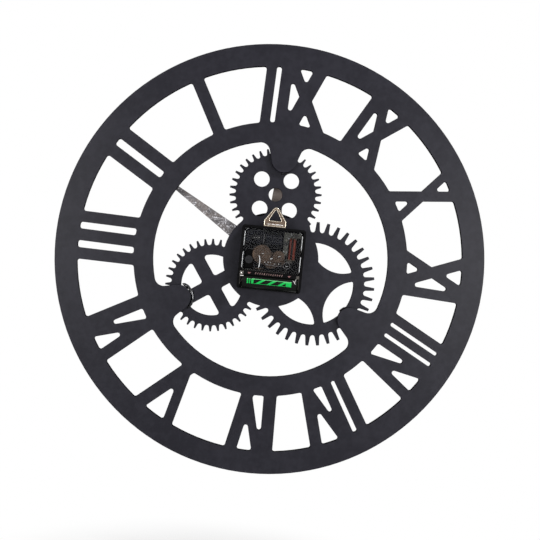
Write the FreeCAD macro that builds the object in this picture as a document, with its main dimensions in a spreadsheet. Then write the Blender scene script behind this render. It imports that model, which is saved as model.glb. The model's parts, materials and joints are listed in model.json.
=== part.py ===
import FreeCAD, Part
import Sketcher
import math
import os
import re
from FreeCAD import Vector

# Skeleton wall clock: a ring of Roman numerals glued to a plate of three decorative gears, with a
# quartz movement on its back.  Lengths are millimetres and angles are degrees.
#
# +Z is up as the clock hangs and the front faces -Y.  The wall is the plane Y = 0, where the
# movement's rear face lies, and the arbor of the hands runs along Y through X = Z = 0.  Depths are
# measured from the wall towards the front, and directions clockwise from twelve, seen from the front.

DIMENSIONS = (
    # The numeral ring
    ("ring_radius", 190.0, "outer radius of the numeral ring"),
    ("window_outer", 170.5, "radius where the numerals meet the outer rim"),
    ("window_inner", 121.0, "radius where the numerals meet the inner rim"),
    ("opening_radius", 104.0, "radius of the ring's central opening"),
    ("plate_thickness", 5.0, "thickness of the ring and of the gear plate"),
    ("window_corner", 1.9, "corner radius of the wide windows"),
    ("ring_turn", -1.9, "how far the ring was turned when it was glued on"),
    ("lobe_tip_distance", 77.3, "from the arbor to the tip of a glued lobe"),
    ("lobe_radius", 11.0, "radius of the lobe's round tip"),
    ("lobe_fillet", 8.0, "radius where a lobe runs into the ring"),
    ("lobe_fillet_offset", 21.5, "from the lobe's middle to the centre of that radius"),
    ("glue_width", 1.5, "width of the glue squeezed out beside a lobe"),
    # The gear plate
    ("gear_teeth", 36.0, "teeth of each decorative gear"),
    ("hub_radius", 42.4, "radius of the plate's round middle"),
    ("top_direction", 1.5, "direction of the pierced gear"),
    ("top_distance", 57.4, "arbor to the pierced gear's centre"),
    ("top_tip", 41.0, "tip radius of the pierced gear"),
    ("top_root", 35.4, "root radius of the pierced gear"),
    ("top_gap", 1.95, "radius at the bottom of its tooth gaps"),
    ("top_land", 1.4, "width of its tooth tips"),
    ("top_phase", 5.45, "direction of one of its teeth"),
    ("top_hole", 7.0, "radius of its four holes"),
    ("top_hole_circle", 18.6, "radius of the circle that the four holes lie on"),
    ("top_centre_hole", 6.1, "radius of its centre hole"),
    ("cross_direction", 119.5, "direction of the gear with a cross of spokes"),
    ("cross_distance", 57.3, "arbor to that gear's centre"),
    ("cross_tip", 41.1, "its tip radius"),
    ("cross_root", 35.6, "its root radius"),
    ("cross_gap", 1.95, "radius at the bottom of its tooth gaps"),
    ("cross_land", 1.4, "width of its tooth tips"),
    ("cross_phase", 3.9, "direction of one of its teeth"),
    ("cross_rim", 27.0, "inner radius of its rim"),
    ("cross_spoke", 11.9, "width of its spokes"),
    ("cross_turn", 34.3, "direction of one of its spokes"),
    ("cross_corner", 2.4, "corner radius of its windows"),
    ("leaf_direction", 245.4, "direction of the large gear with leaf windows"),
    ("leaf_distance", 43.3, "arbor to that gear's centre"),
    ("leaf_tip", 55.1, "its tip radius"),
    ("leaf_root", 45.8, "its root radius"),
    ("leaf_gap", 2.25, "radius at the bottom of its tooth gaps"),
    ("leaf_land", 2.35, "width of its tooth tips"),
    ("leaf_phase", 0.45, "direction of one of its teeth"),
    ("leaf_rim", 36.5, "inner radius of its rim"),
    ("leaf_arc_distance", 47.2, "its centre to the centre of a leaf's inner arc"),
    ("leaf_arc_radius", 29.4, "radius of a leaf's inner arc"),
    ("leaf_turn", 239.9, "direction of one of its leaves"),
    ("leaf_corner", 1.5, "corner radius of the leaves"),
    ("web_direction", 321.2, "direction of the web between the pierced and the large gear"),
    ("web_distance", 43.0, "arbor to the web's middle"),
    ("web_radius", 3.0, "radius of the web"),
    ("disc_radius", 41.4, "radius of the separate disc in front"),
    ("disc_thickness", 4.0, "thickness of that disc"),
    # The movement's case
    ("case_half", 28.0, "half of the square case"),
    ("case_depth", 16.0, "depth of the case"),
    ("case_corner", 2.8, "corner radius of the case"),
    ("case_wall", 2.1, "side wall of the case"),
    ("front_wall", 1.2, "front wall of the case"),
    ("ledge", 1.0, "ledge that the cover's skirt rests on"),
    ("cover_thickness", 1.2, "thickness of the clear cover"),
    ("skirt_depth", 2.6, "how far the cover's skirt reaches in"),
    ("skirt_wall", 0.9, "wall of the cover's skirt"),
    ("cover_play", 0.2, "gap between the cover and the case walls"),
    ("divider_drop", 11.3, "arbor to the wall above the battery"),
    ("divider_wall", 1.0, "thickness of that wall"),
    ("bay_floor", 0.8, "floor of the battery bay"),
    ("bay_step", 9.6, "depth of the floor's rear edge, cut back to let the battery out"),
    ("lip_reach", 3.0, "how far the lip reaches over the battery"),
    ("lip_thickness", 1.0, "thickness of the lip"),
    ("panel_depth", 4.4, "depth of the raised panels inside the case"),
    ("plain_panel_left", 8.0, "arbor to the plain panel's near side"),
    ("plain_panel_right", 23.6, "arbor to its far side"),
    ("bare_panel_left", 8.1, "arbor to the sunk panel's one side"),
    ("bare_panel_right", 6.9, "arbor to its other side"),
    ("panel_foot", 12.9, "arbor to the panels' lower edge"),
    ("plain_panel_top", 24.2, "arbor to the plain panel's upper edge"),
    ("bare_panel_top", 21.6, "arbor to the sunk panel's upper edge"),
    ("eye_side", 16.4, "arbor to the round recess in the plain panel, across"),
    ("eye_rise", 17.6, "arbor to the round recess, up"),
    ("eye_radius", 3.5, "radius of the round recess"),
    ("panel_recess", 0.9, "depth of the round recess"),
    ("nib", 0.9, "snap nibs that hold the cover"),
    ("nib_low", 3.6, "arbor to the snap nibs' lower end"),
    ("nib_high", 6.3, "arbor to the snap nibs' upper end"),
    ("post_radius", 1.2, "posts under the train plate"),
    ("post_side", 6.4, "arbor to the post beside the stator"),
    ("rivet_radius", 2.9, "head of the moulded stator rivet"),
    ("gasket_radius", 10.0, "outer radius of the rubber gasket"),
    ("gasket_thickness", 1.0, "thickness of the rubber gasket"),
    ("bush_radius", 4.0, "outer radius of the threaded bush"),
    ("bush_end", 30.2, "depth of the bush's front end"),
    ("mounting_play", 0.2, "gap round the bush in the plate, disc and washer"),
    ("washer_radius", 7.5, "outer radius of the washer"),
    ("washer_thickness", 0.5, "thickness of the washer"),
    ("nut_flats", 12.0, "hexagon nut across its flats"),
    ("nut_thickness", 2.3, "thickness of the nut"),
    # The battery and its contacts
    ("cell_radius", 7.1, "radius of the AA cell"),
    ("cell_length", 50.4, "length of the cell over its terminals"),
    ("cell_drop", 19.9, "arbor to the cell's axis"),
    ("cell_depth", 7.5, "depth of the cell's axis"),
    ("cell_shoulder", 0.6, "rounding of the cell's ends"),
    ("terminal_radius", 2.7, "radius of the positive terminal"),
    ("terminal_height", 1.2, "height of the positive terminal"),
    ("contact_sheet", 0.35, "sheet of the battery contacts"),
    ("contact_height", 9.0, "height of the contact leaves"),
    ("contact_front", 12.0, "depth of the contact leaves' front edge"),
    ("contact_tab", 2.6, "width of the tabs folded over at the rear"),
    ("strip_width", 2.2, "width of the strips that lead to the board"),
    # The train
    ("pivot_radius", 0.45, "radius of the wheel pivots"),
    ("running_fit", 0.05, "radial clearance of everything that turns"),
    ("pivot_depth", 0.7, "how far a pivot reaches into its bearing"),
    ("boss_radius", 1.3, "bearing bosses under the cover"),
    ("boss_height", 0.35, "height of those bosses"),
    ("wheel_thickness", 0.7, "thickness of a train wheel"),
    ("tooth_share", 0.34, "thickness of a train tooth as a share of its pitch"),
    ("third_direction", 68.0, "direction of the third wheel"),
    ("third_distance", 9.35, "arbor to the third wheel"),
    ("third_depth", 2.9, "depth of the third wheel's rear face"),
    ("third_teeth", 60.0, "teeth of the third wheel"),
    ("seconds_leaves", 8.0, "leaves of the seconds pinion"),
    ("seconds_teeth", 48.0, "teeth of the seconds wheel"),
    ("seconds_depth", 4.6, "depth of the seconds wheel's rear face"),
    ("third_leaves", 8.0, "leaves of the third pinion"),
    ("centre_teeth", 64.0, "teeth of the centre wheel"),
    ("centre_depth", 8.4, "depth of the centre wheel's rear face"),
    ("middle_direction", 293.2, "direction of the intermediate wheel"),
    ("middle_distance", 6.75, "arbor to the intermediate wheel"),
    ("middle_depth", 1.75, "depth of the intermediate wheel's rear face"),
    ("middle_teeth", 40.0, "teeth of the intermediate wheel"),
    ("middle_leaves", 8.0, "leaves of the intermediate pinion"),
    ("rotor_direction", 225.0, "direction of the rotor from the intermediate wheel"),
    ("rotor_distance", 6.3, "intermediate wheel to the rotor"),
    ("rotor_leaves", 8.0, "leaves of the rotor pinion"),
    ("magnet_radius", 2.2, "radius of the rotor's magnet"),
    ("magnet_depth", 7.3, "depth of the magnet's rear face"),
    ("magnet_length", 0.9, "length of the magnet"),
    ("rotor_hub", 1.5, "radius of the rotor's moulded hub"),
    ("plate_depth", 10.0, "depth of the train plate's rear face"),
    ("train_plate_thickness", 0.8, "thickness of the train plate"),
    ("train_plate_left", 12.4, "arbor to the train plate's edge on the rotor's side"),
    ("train_plate_right", 22.6, "arbor to the train plate's edge on the knob's side"),
    ("train_plate_top", 8.6, "arbor to the train plate's upper edge"),
    ("train_plate_drop", 8.8, "arbor to the train plate's lower edge"),
    ("bridge_depth", 6.1, "depth of the bridge behind the centre wheel"),
    ("bridge_arm_half", 1.4, "half width of the bridge's arm"),
    ("pillar_radius", 1.0, "radius of the bridge's pillars"),
    # The motion work and the setting knob
    ("motion_direction", 107.9, "direction of the minute wheel"),
    ("motion_distance", 9.6, "arbor to the minute wheel"),
    ("motion_depth", 11.4, "depth of the minute wheel's rear face"),
    ("motion_teeth", 36.0, "teeth of the minute wheel"),
    ("motion_leaves", 10.0, "leaves of the minute wheel's pinion"),
    ("cannon_leaves", 12.0, "leaves of the cannon pinion"),
    ("hour_teeth", 40.0, "teeth of the hour wheel"),
    ("hour_depth", 13.2, "depth of the hour wheel's rear face"),
    ("motion_thickness", 1.0, "thickness of the motion work's wheels"),
    ("knob_direction", 85.3, "direction of the setting knob from the minute wheel"),
    ("knob_distance", 10.4, "minute wheel to the setting knob"),
    ("knob_leaves", 16.0, "leaves of the setting knob's pinion"),
    ("knob_radius", 3.5, "radius of the setting knob"),
    ("knob_rear", 0.5, "depth of the setting knob's rear face"),
    ("knob_length", 3.2, "length of the setting knob's grip"),
    ("knob_stem", 1.2, "radius of the setting knob's stem"),
    ("knob_ridges", 20.0, "ridges round the setting knob"),
    ("ridge_depth", 0.3, "depth of the grooves between those ridges"),
    ("knob_slot", 0.9, "width of the slot across the setting knob"),
    ("slot_reach", 2.5, "half length of that slot"),
    ("window_left", 15.4, "arbor to the near side of the knob window in the cover"),
    ("window_right", 23.4, "arbor to the far side of the knob window"),
    ("window_top", 6.4, "arbor to the knob window's upper edge"),
    ("window_drop", 9.7, "arbor to the knob window's lower edge"),
    ("rib_side", 11.3, "arbor to the rib beside the knob window"),
    ("arbor_radius", 1.75, "radius of the minute arbor"),
    ("arbor_flange", 2.7, "radius of the flanges on the minute arbor"),
    ("flange_thickness", 0.45, "thickness of those flanges"),
    ("seconds_arbor", 0.5, "radius of the seconds arbor"),
    ("seconds_end", 20.0, "depth of the seconds arbor's front end"),
    ("pipe_radius", 2.55, "outer radius of the hour pipe"),
    ("pipe_end", 33.0, "depth of the hour pipe's front end"),
    ("shoulder_end", 34.2, "depth of the shoulder that the minute hand sits on"),
    ("stud_radius", 1.3, "radius of the stud that takes the hand nut"),
    ("stud_end", 37.0, "depth of the stud's front end"),
    # The stepping motor and its circuit
    ("coil_side", 17.35, "arbor to the coil's axis"),
    ("coil_top", 20.2, "arbor to the coil's upper end"),
    ("coil_foot", 0.5, "arbor to the coil's lower end"),
    ("coil_depth", 7.5, "depth of the coil's axis"),
    ("coil_radius", 3.3, "radius of the winding"),
    ("spool_radius", 2.1, "radius that the wire is wound on"),
    ("spool_flange", 0.8, "thickness of the spool's flanges"),
    ("core_width", 2.4, "width of the stator's legs"),
    ("core_sheet", 1.0, "thickness of the stator"),
    ("core_play", 0.1, "gap round the core in the spool"),
    ("stator_ring", 3.8, "outer radius of the stator round the rotor"),
    ("air_gap", 0.4, "gap between the magnet and the stator"),
    ("rivet_side", 13.8, "arbor to the stator rivet, across"),
    ("rivet_drop", 5.1, "arbor to the stator rivet, down"),
    ("rivet_stem", 1.0, "radius of the stator rivet's stem"),
    ("rivet_height", 0.8, "height of the stator rivet's head"),
    ("board_thickness", 0.8, "thickness of the circuit board"),
    ("board_inner", 9.5, "arbor to the board's near edge"),
    ("board_arm", 3.9, "width of the board's two arms"),
    ("board_foot", 4.4, "arbor to the board's lower edge"),
    ("board_top", 24.3, "arbor to the board's upper edge"),
    ("chip_radius", 1.6, "radius of the sealed chip"),
    ("chip_height", 0.7, "height of the sealed chip"),
    ("crystal_radius", 0.85, "radius of the quartz crystal's can"),
    ("crystal_length", 5.8, "length of that can"),
    # The hanger
    ("hanger_half", 9.6, "half width of the hanger's foot"),
    ("hanger_sheet", 0.9, "sheet of the hanger"),
    ("hanger_set_back", 0.35, "depth of the hanger's rear face"),
    ("hanger_foot", 5.4, "height of the hanger's sleeve"),
    ("hanger_height", 17.2, "height of the hanger"),
    ("hanger_tip", 2.6, "outer radius of the hanger's tip"),
    ("hanger_hole_half", 5.2, "half width of the hole at its foot"),
    ("hanger_hole_height", 9.6, "height of the hole"),
    ("hanger_hole_corner", 0.9, "corner radius of the hole"),
    ("tongue_thickness", 3.4, "thickness of the tongue that carries the hanger"),
    # The hands
    ("hand_sheet", 0.6, "sheet of the hands"),
    ("collet_radius", 4.6, "radius of the hour hand's collet"),
    ("collet_length", 1.9, "length of the hour hand's collet"),
    ("hour_hand_depth", 31.2, "depth of the hour hand"),
    ("hour_hand_direction", -0.7, "where the hour hand points at rest"),
    ("hour_hand_length", 88.0, "arbor to the hour hand's tip"),
    ("hour_hand_width", 13.6, "width of the hour hand at its broadest"),
    ("hour_hand_tip", 5.0, "width of the hour hand at its tip"),
    ("hour_hand_tail", 16.0, "arbor to the end of the hour hand's tail"),
    ("minute_hand_direction", 58.4, "where the minute hand points at rest"),
    ("minute_hand_length", 121.0, "arbor to the minute hand's tip"),
    ("minute_hand_width", 13.2, "width of the minute hand at its broadest"),
    ("minute_hand_tip", 2.7, "width of the minute hand at its tip"),
    ("minute_hand_tail", 22.0, "arbor to the end of the minute hand's tail"),
    ("hand_broadest", 26.0, "arbor to where the hands are broadest"),
    ("hand_neck", 8.0, "width of the hands where they leave the boss"),
    ("hand_boss", 6.2, "radius of the hands' round boss"),
    ("hand_nut_radius", 2.9, "radius of the hand nut"),
    ("hand_nut_length", 2.8, "length of the hand nut"),
    ("overrun", 2.0, "how far a cutting tool reaches past a face"),
)
NAMES = {name for name, _value, _note in DIMENSIONS}

# Strokes of the numerals from twelve round to eleven.  Each is a bar from the inner rim to the outer
# rim: where its middle starts, where it ends, and its width, as shares of the numerals' height, with
# clockwise positive and the numeral's own direction in the middle.
NUMERAL_SHARES = (
    ((-0.483, 0.042, 0.178), (-0.040, -0.446, 0.240), (0.162, 0.158, 0.202), (0.437, 0.438, 0.182)),
    ((-0.008, -0.004, 0.220),),
    ((-0.180, -0.178, 0.232), (0.176, 0.188, 0.226)),
    ((-0.318, -0.310, 0.200), (0.009, 0.013, 0.212), (0.330, 0.346, 0.206)),
    ((-0.178, -0.178, 0.242), (0.221, -0.002, 0.156), (0.240, 0.452, 0.224)),
    ((0.030, -0.303, 0.234), (0.012, 0.319, 0.182)),
    ((-0.091, -0.273, 0.216), (-0.087, 0.190, 0.154), (0.317, 0.368, 0.232)),
    ((-0.297, -0.527, 0.212), (-0.267, -0.022, 0.140), (0.063, 0.097, 0.180), (0.319, 0.364, 0.196)),
    ((-0.339, -0.452, 0.192), (-0.337, 0.019, 0.155), (0.065, 0.124, 0.170), (0.291, 0.354, 0.154),
     (0.521, 0.580, 0.172)),
    ((-0.228, -0.252, 0.182), (-0.048, 0.376, 0.192), (0.370, -0.124, 0.160)),
    ((-0.172, 0.190, 0.150), (0.216, -0.200, 0.180)),
    ((-0.371, 0.081, 0.166), (0.044, -0.386, 0.204), (0.208, 0.242, 0.192)),
)
SLOT_ROUND_SHARE = 0.93
CORNER_FLATS = 4
CORNER_SHARE = 1.5
GAP_FLATS = 6
LOBE_HOURS = (0, 4, 8)
GLUE_SPANS = ((4, 38.0, 104.0), (8, 52.0, 40.0), (0, 84.0, 35.0))
HOURS = 12

doc = FreeCAD.newDocument("gear_clock")
sheet = doc.addObject("Spreadsheet::Sheet", "sizes")
for row, (name, value, note) in enumerate(DIMENSIONS, start=1):
    sheet.set(f"A{row}", name)
    sheet.set(f"B{row}", str(value))
    sheet.set(f"C{row}", note)
    sheet.setAlias(f"B{row}", name)
doc.recompute()


# Helpers

def size(name):
    """A driving dimension from the sheet."""
    return float(sheet.get(name))


def expression(text):
    """An expression on the sheet's cells, written with their bare names."""
    return re.sub(r"[a-z][a-z_]*", lambda m: "sizes." + m.group() if m.group() in NAMES else m.group(), text)


def place(item, x="0", depth="0", z="0", turn="0"):
    """Bind where a piece sits and how far it is turned clockwise, seen from the front."""
    base = f"vector({expression(x)}; -({expression(depth)}); {expression(z)})"
    item.setExpression("Placement", f"placement({base}; rotation(vector(0; 1; 0); {expression(turn)}))")
    return item


def unit(vector):
    """The same direction as a vector of length one, which leaves the given vector as it is."""
    return Vector(vector).normalize()


def direction(degrees):
    """The unit vector that points clockwise from twelve by so many degrees."""
    return Vector(math.sin(math.radians(degrees)), 0, math.cos(math.radians(degrees)))


def at(angle, distance, across="0", up="0"):
    """Expressions for X and Z of a point at a direction and distance from another."""
    return f"({across}) + {distance} * sin({angle} * 1deg)", f"({up}) + {distance} * cos({angle} * 1deg)"


def block(name, x, depth, z):
    """A box between pairs of X, depth and Z given as expressions."""
    item = doc.addObject("Part::Box", name)
    item.setExpression("Length", expression(f"({x[1]}) - ({x[0]})"))
    item.setExpression("Width", expression(f"({depth[1]}) - ({depth[0]})"))
    item.setExpression("Height", expression(f"({z[1]}) - ({z[0]})"))
    return place(item, x[0], depth[1], z[0])


def rod(name, radius, depth, x="0", z="0"):
    """A round rod along the arbor's direction between two depths."""
    item = doc.addObject("Part::Cylinder", name)
    item.setExpression("Radius", expression(radius))
    item.setExpression("Height", expression(f"({depth[1]}) - ({depth[0]})"))
    base = f"vector({expression(x)}; -({expression(depth[0])}); {expression(z)})"
    item.setExpression("Placement", f"placement({base}; rotation(vector(1; 0; 0); 90))")
    return item


def fuse(name, *pieces):
    """One solid from several that touch."""
    item = doc.addObject("Part::MultiFuse", name)
    item.Shapes = list(pieces)
    return item


def cut(name, base, *tools):
    """A solid less one or more tools."""
    item = doc.addObject("Part::Cut", name)
    item.Base = base
    item.Tool = tools[0] if len(tools) == 1 else fuse(name + "_tools", *tools)
    return item


def body(name, x="0", depth="0", z="0", turn="0"):
    """A PartDesign body that is placed by expressions."""
    item = doc.addObject("PartDesign::Body", name)
    return place(item, x, depth, z, turn)


def sketch_on(owner, name, start="0"):
    """A sketch parallel to the wall in a body, so far in front of the body's own origin."""
    sketch = owner.newObject("Sketcher::SketchObject", name)
    plane = next(item for item in owner.Origin.OriginFeatures if item.Role == "XZ_Plane")
    sketch.AttachmentSupport = [(plane, "")]
    sketch.MapMode = "FlatFace"
    sketch.setExpression("AttachmentOffset.Base.z", expression(start))
    return sketch


def circle_in(sketch, radius):
    """A circle about the sketch's origin whose radius is bound to the sheet."""
    number = sketch.addGeometry(Part.Circle(Vector(), Vector(0, 0, 1), 1.0))
    sketch.addConstraint(Sketcher.Constraint("Coincident", number, 3, -1, 1))
    held = sketch.addConstraint(Sketcher.Constraint("Radius", number, 1.0))
    sketch.setExpression(f"Constraints[{held}]", expression(radius))


def outline_in(sketch, edges):
    """A closed outline of lines and arcs; a pair of points is a line and three points an arc."""
    parts = []
    for points in edges:
        corners = [Vector(p[0], p[1], 0) for p in points]
        if len(corners) == 2:
            parts.append(Part.LineSegment(*corners))
        else:
            parts.append(Part.Arc(*corners))
    sketch.addGeometry(parts)


def pad(owner, name, draw, length, start="0"):
    """Material from a drawing function, between a depth and so much further to the front."""
    sketch = sketch_on(owner, name + "_sketch", start)
    draw(sketch)
    feature = owner.newObject("PartDesign::Pad", name)
    feature.Profile = sketch
    feature.setExpression("Length", expression(length))
    return feature


def pocket(owner, name, draw, length, start="0"):
    """A cut from a drawing function, between a depth and so much further to the front."""
    sketch = sketch_on(owner, name + "_sketch", start)
    draw(sketch)
    feature = owner.newObject("PartDesign::Pocket", name)
    feature.Profile = sketch
    feature.Reversed = True
    feature.setExpression("Length", expression(length))
    return feature


def repeat(owner, feature, name, count):
    """A feature repeated evenly round the body's own axis along the arbor's direction."""
    pattern = owner.newObject("PartDesign::PolarPattern", name)
    pattern.Originals = [feature]
    axis = next(item for item in owner.Origin.OriginFeatures if item.Role == "Y_Axis")
    pattern.Axis = (axis, [""])
    pattern.Angle = 360
    pattern.Occurrences = count
    owner.Tip = pattern
    return pattern


def label(item, text):
    """Name a finished sub-part."""
    item.Label = text
    SUBPARTS.append(item)
    return item


SUBPARTS = []

# Depths along the arbor, from the wall to the front
CASE_FRONT = "case_depth"
PLATE_BACK = "case_depth + gasket_thickness"
PLATE_FRONT = f"{PLATE_BACK} + plate_thickness"
RING_BACK = f"{PLATE_BACK} - plate_thickness"
DISC_FRONT = f"{PLATE_FRONT} + disc_thickness"
WASHER_FRONT = f"{DISC_FRONT} + washer_thickness"
CHAMBER_FRONT = "case_depth - front_wall"
SKIRT_FRONT = "cover_thickness + skirt_depth"

# Where the wheels turn
THIRD = at("third_direction", "third_distance")
MIDDLE = at("middle_direction", "middle_distance")
ROTOR = at("rotor_direction", "rotor_distance", MIDDLE[0], MIDDLE[1])
MOTION = at("motion_direction", "motion_distance")
KNOB = at("knob_direction", "knob_distance", MOTION[0], MOTION[1])


# The numeral ring

def flatten_corners(face, largest):
    """The same face with each arc up to a radius as a few short flats, which keeps the facets few."""
    edges = []
    for edge in face.OuterWire.OrderedEdges:
        if isinstance(edge.Curve, Part.Circle) and edge.Curve.Radius < largest:
            points = edge.discretize(CORNER_FLATS + 1)
            edges += [Part.makeLine(points[k], points[k + 1]) for k in range(CORNER_FLATS)]
        else:
            edges.append(edge)
    return Part.Face(Part.Wire(Part.sortEdges(edges)[0]))


def rounded_windows():
    """The openings between the numeral strokes, with round corners, as solids through the ring."""
    inner = size("window_inner")
    outer = size("window_outer")
    height = outer - inner
    axis = Vector(0, -1, 0)
    band = Part.Face(Part.Wire(Part.makeCircle(outer, Vector(), axis)))
    band = band.cut(Part.Face(Part.Wire(Part.makeCircle(inner, Vector(), axis))))
    strokes = []
    for hour, numeral in enumerate(NUMERAL_SHARES):
        for foot_share, head_share, width_share in numeral:
            foot = Vector(foot_share * height, 0, inner)
            head = Vector(head_share * height, 0, outer)
            along = (head - foot).normalize()
            side = Vector(along.z, 0, -along.x) * (width_share * height / 2)
            reach = along * (height / 3)
            corners = [foot - reach - side, head + reach - side, head + reach + side, foot - reach + side]
            stroke = Part.Face(Part.makePolygon(corners + corners[:1]))
            stroke.rotate(Vector(), Vector(0, 1, 0), hour * 360 / HOURS)
            strokes.append(stroke)
    solids = []
    for window in band.cut(strokes).Faces:
        radius = min(size("window_corner"), SLOT_ROUND_SHARE * window.Area / window.Length)
        rounded = flatten_corners(window.makeOffset2D(-radius).makeOffset2D(radius), CORNER_SHARE * radius)
        rounded.translate(Vector(0, size("overrun"), 0))
        solids.append(rounded.extrude(axis * (size("plate_thickness") + 2 * size("overrun"))))
    return Part.makeCompound(solids)


def lobe_outline(sketch):
    """A lobe that reaches in from the ring: a round tip, straight flanks and round roots."""
    tip = size("lobe_radius")
    root = size("lobe_fillet")
    middle = Vector(0, size("lobe_tip_distance") + tip, 0)
    offset = size("lobe_fillet_offset")
    height = math.sqrt((size("opening_radius") - root) ** 2 - offset ** 2)
    away = Vector(offset, height, 0) - middle
    lean = math.atan2(away.y, away.x) - math.acos((tip + root) / away.Length)
    facing = Vector(math.cos(lean), math.sin(lean), 0)
    flank = middle + facing * tip
    rise = middle + away - facing * root
    outward = Vector(offset, height, 0).normalize()
    meet = outward * size("opening_radius")
    halfway = middle + away + (outward - facing).normalize() * root
    top = (size("opening_radius") + size("window_inner")) / 2

    def mirrored(point):
        return Vector(-point.x, point.y, 0)

    outline_in(sketch, (
        (mirrored(flank), Vector(0, size("lobe_tip_distance"), 0), flank),
        (flank, rise),
        (rise, halfway, meet),
        (meet, Vector(meet.x, top, 0)),
        (Vector(meet.x, top, 0), Vector(-meet.x, top, 0)),
        (Vector(-meet.x, top, 0), mirrored(meet)),
        (mirrored(meet), mirrored(halfway), mirrored(rise)),
        (mirrored(rise), mirrored(flank)),
    ))


def ring_outline(sketch):
    circle_in(sketch, "ring_radius")
    circle_in(sketch, "opening_radius")


ring_blank = body("ring_blank")
pad(ring_blank, "ring_pad", ring_outline, "plate_thickness")
lobe_pad = pad(ring_blank, "lobe_pad", lobe_outline, "plate_thickness")
doc.recompute()
repeat(ring_blank, lobe_pad, "lobes", len(LOBE_HOURS))

windows = doc.addObject("Part::Feature", "numeral_windows")
windows.Shape = rounded_windows()
dial_ring = label(cut("dial_ring", ring_blank, windows), "dial_ring")
place(dial_ring, depth=RING_BACK, turn="ring_turn")


# The plate of three gears

def gap_outline(kind):
    """A drawing function for the gap between two teeth of a decorative gear."""
    def draw(sketch):
        tip = size(kind + "_tip")
        radius = size(kind + "_gap")
        middle = Vector(0, size(kind + "_root") + radius, 0)
        half = (2 * math.pi * tip / size("gear_teeth") - size(kind + "_land")) / 2
        edge = Vector(half, math.sqrt(tip ** 2 - half ** 2), 0)
        away = edge - middle
        lean = math.atan2(away.y, away.x) - math.acos(radius / away.Length)
        sweep = math.pi + 2 * lean
        bottom = []
        for step in range(GAP_FLATS + 1):
            angle = lean - sweep * step / GAP_FLATS
            bottom.append(middle + Vector(math.cos(angle), math.sin(angle), 0) * radius)
        beyond = edge + (edge - bottom[0]).normalize() * size("overrun")
        points = [Vector(-beyond.x, beyond.y, 0), beyond, *bottom]
        outline_in(sketch, [(points[k - 1], points[k]) for k in range(len(points))])
    return draw


def gear_blank(kind):
    """A toothed disc about its own centre, with a tooth gap halfway between two teeth."""
    pitch = 360 / size("gear_teeth")
    gear = body(kind + "_gear")
    pad(gear, kind + "_disc", lambda sketch: circle_in(sketch, kind + "_tip"), "plate_thickness")
    gap = pocket(gear, kind + "_gap_cut", gap_outline(kind), "plate_thickness")
    gap.Profile[0].setExpression("AttachmentOffset.Rotation.Angle",
                                 expression(f"-({kind}_phase) - {pitch / 2}"))
    doc.recompute()
    repeat(gear, gap, kind + "_teeth", int(size("gear_teeth")))
    return gear


def quadrant_window(sketch):
    """One of four openings between a cross of spokes and the rim."""
    half = size("cross_spoke") / 2
    corner = size("cross_corner")
    rim = size("cross_rim")
    near = half + corner
    far = math.sqrt((rim - corner) ** 2 - near ** 2)
    bend = math.sqrt(0.5)
    low = Vector(far, near, 0)
    high = Vector(near, far, 0)
    low_out = unit(low) * rim
    high_out = unit(high) * rim
    low_mid = low + unit(unit(low) + Vector(0, -1, 0)) * corner
    high_mid = high + unit(unit(high) + Vector(-1, 0, 0)) * corner
    outline_in(sketch, (
        (Vector(half, near, 0), Vector(near - corner * bend, near - corner * bend, 0), Vector(near, half, 0)),
        (Vector(near, half, 0), Vector(far, half, 0)),
        (Vector(far, half, 0), low_mid, low_out),
        (low_out, Vector(rim * bend, rim * bend, 0), high_out),
        (high_out, high_mid, Vector(half, far, 0)),
        (Vector(half, far, 0), Vector(half, near, 0)),
    ))


def leaf_window(sketch):
    """A leaf between the rim and an arc that bows towards the gear's centre."""
    rim = size("leaf_rim")
    away = size("leaf_arc_distance")
    arc = size("leaf_arc_radius")
    corner = size("leaf_corner")
    height = ((rim - corner) ** 2 - (arc - corner) ** 2 + away ** 2) / (2 * away)
    across = math.sqrt((rim - corner) ** 2 - height ** 2)
    middle = Vector(0, away, 0)
    centre = Vector(across, height, 0)
    out = unit(centre)
    back = unit(centre - middle)
    rim_end = centre + out * corner
    arc_end = centre + back * corner
    bend = centre + unit(out + back) * corner

    def mirrored(point):
        return Vector(-point.x, point.y, 0)

    outline_in(sketch, (
        (mirrored(rim_end), Vector(0, rim, 0), rim_end),
        (rim_end, bend, arc_end),
        (arc_end, Vector(0, away - arc, 0), mirrored(arc_end)),
        (mirrored(arc_end), mirrored(bend), mirrored(rim_end)),
    ))


def pierce(gear, kind, draw, turn):
    """Four openings round a decorative gear."""
    opening = pocket(gear, kind + "_window", draw, "plate_thickness")
    opening.Profile[0].setExpression("AttachmentOffset.Rotation.Angle", expression(turn))
    doc.recompute()
    repeat(gear, opening, kind + "_windows", 4)


top_gear = gear_blank("top")
cross_gear = gear_blank("cross")
pierce(cross_gear, "cross", quadrant_window, "-cross_turn")
leaf_gear = gear_blank("leaf")
pierce(leaf_gear, "leaf", leaf_window, "-leaf_turn")
for kind, gear in (("top", top_gear), ("cross", cross_gear), ("leaf", leaf_gear)):
    x, z = at(kind + "_direction", kind + "_distance")
    place(gear, x, PLATE_BACK, z)

plate_span = (PLATE_BACK, PLATE_FRONT)
hub = rod("plate_hub", "hub_radius", plate_span)
web = rod("plate_web", "web_radius", plate_span, *at("web_direction", "web_distance"))
gears = fuse("joined_gears", hub, web, top_gear, cross_gear, leaf_gear)
hole_span = (f"{PLATE_BACK} - overrun", f"{PLATE_FRONT} + overrun")
TOP = at("top_direction", "top_distance")
holes = [rod("bush_hole", "bush_radius + mounting_play", hole_span)]
holes.append(rod("top_centre_cut", "top_centre_hole", hole_span, *TOP))
for number in range(4):
    turn = f"(top_direction + {45 + 90 * number})"
    holes.append(rod(f"top_hole_{number}", "top_hole", hole_span, *at(turn, "top_hole_circle", *TOP)))
gear_plate = label(cut("gear_plate", gears, *holes), "gear_plate")


# Glue squeezed out beside the lobes

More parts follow.
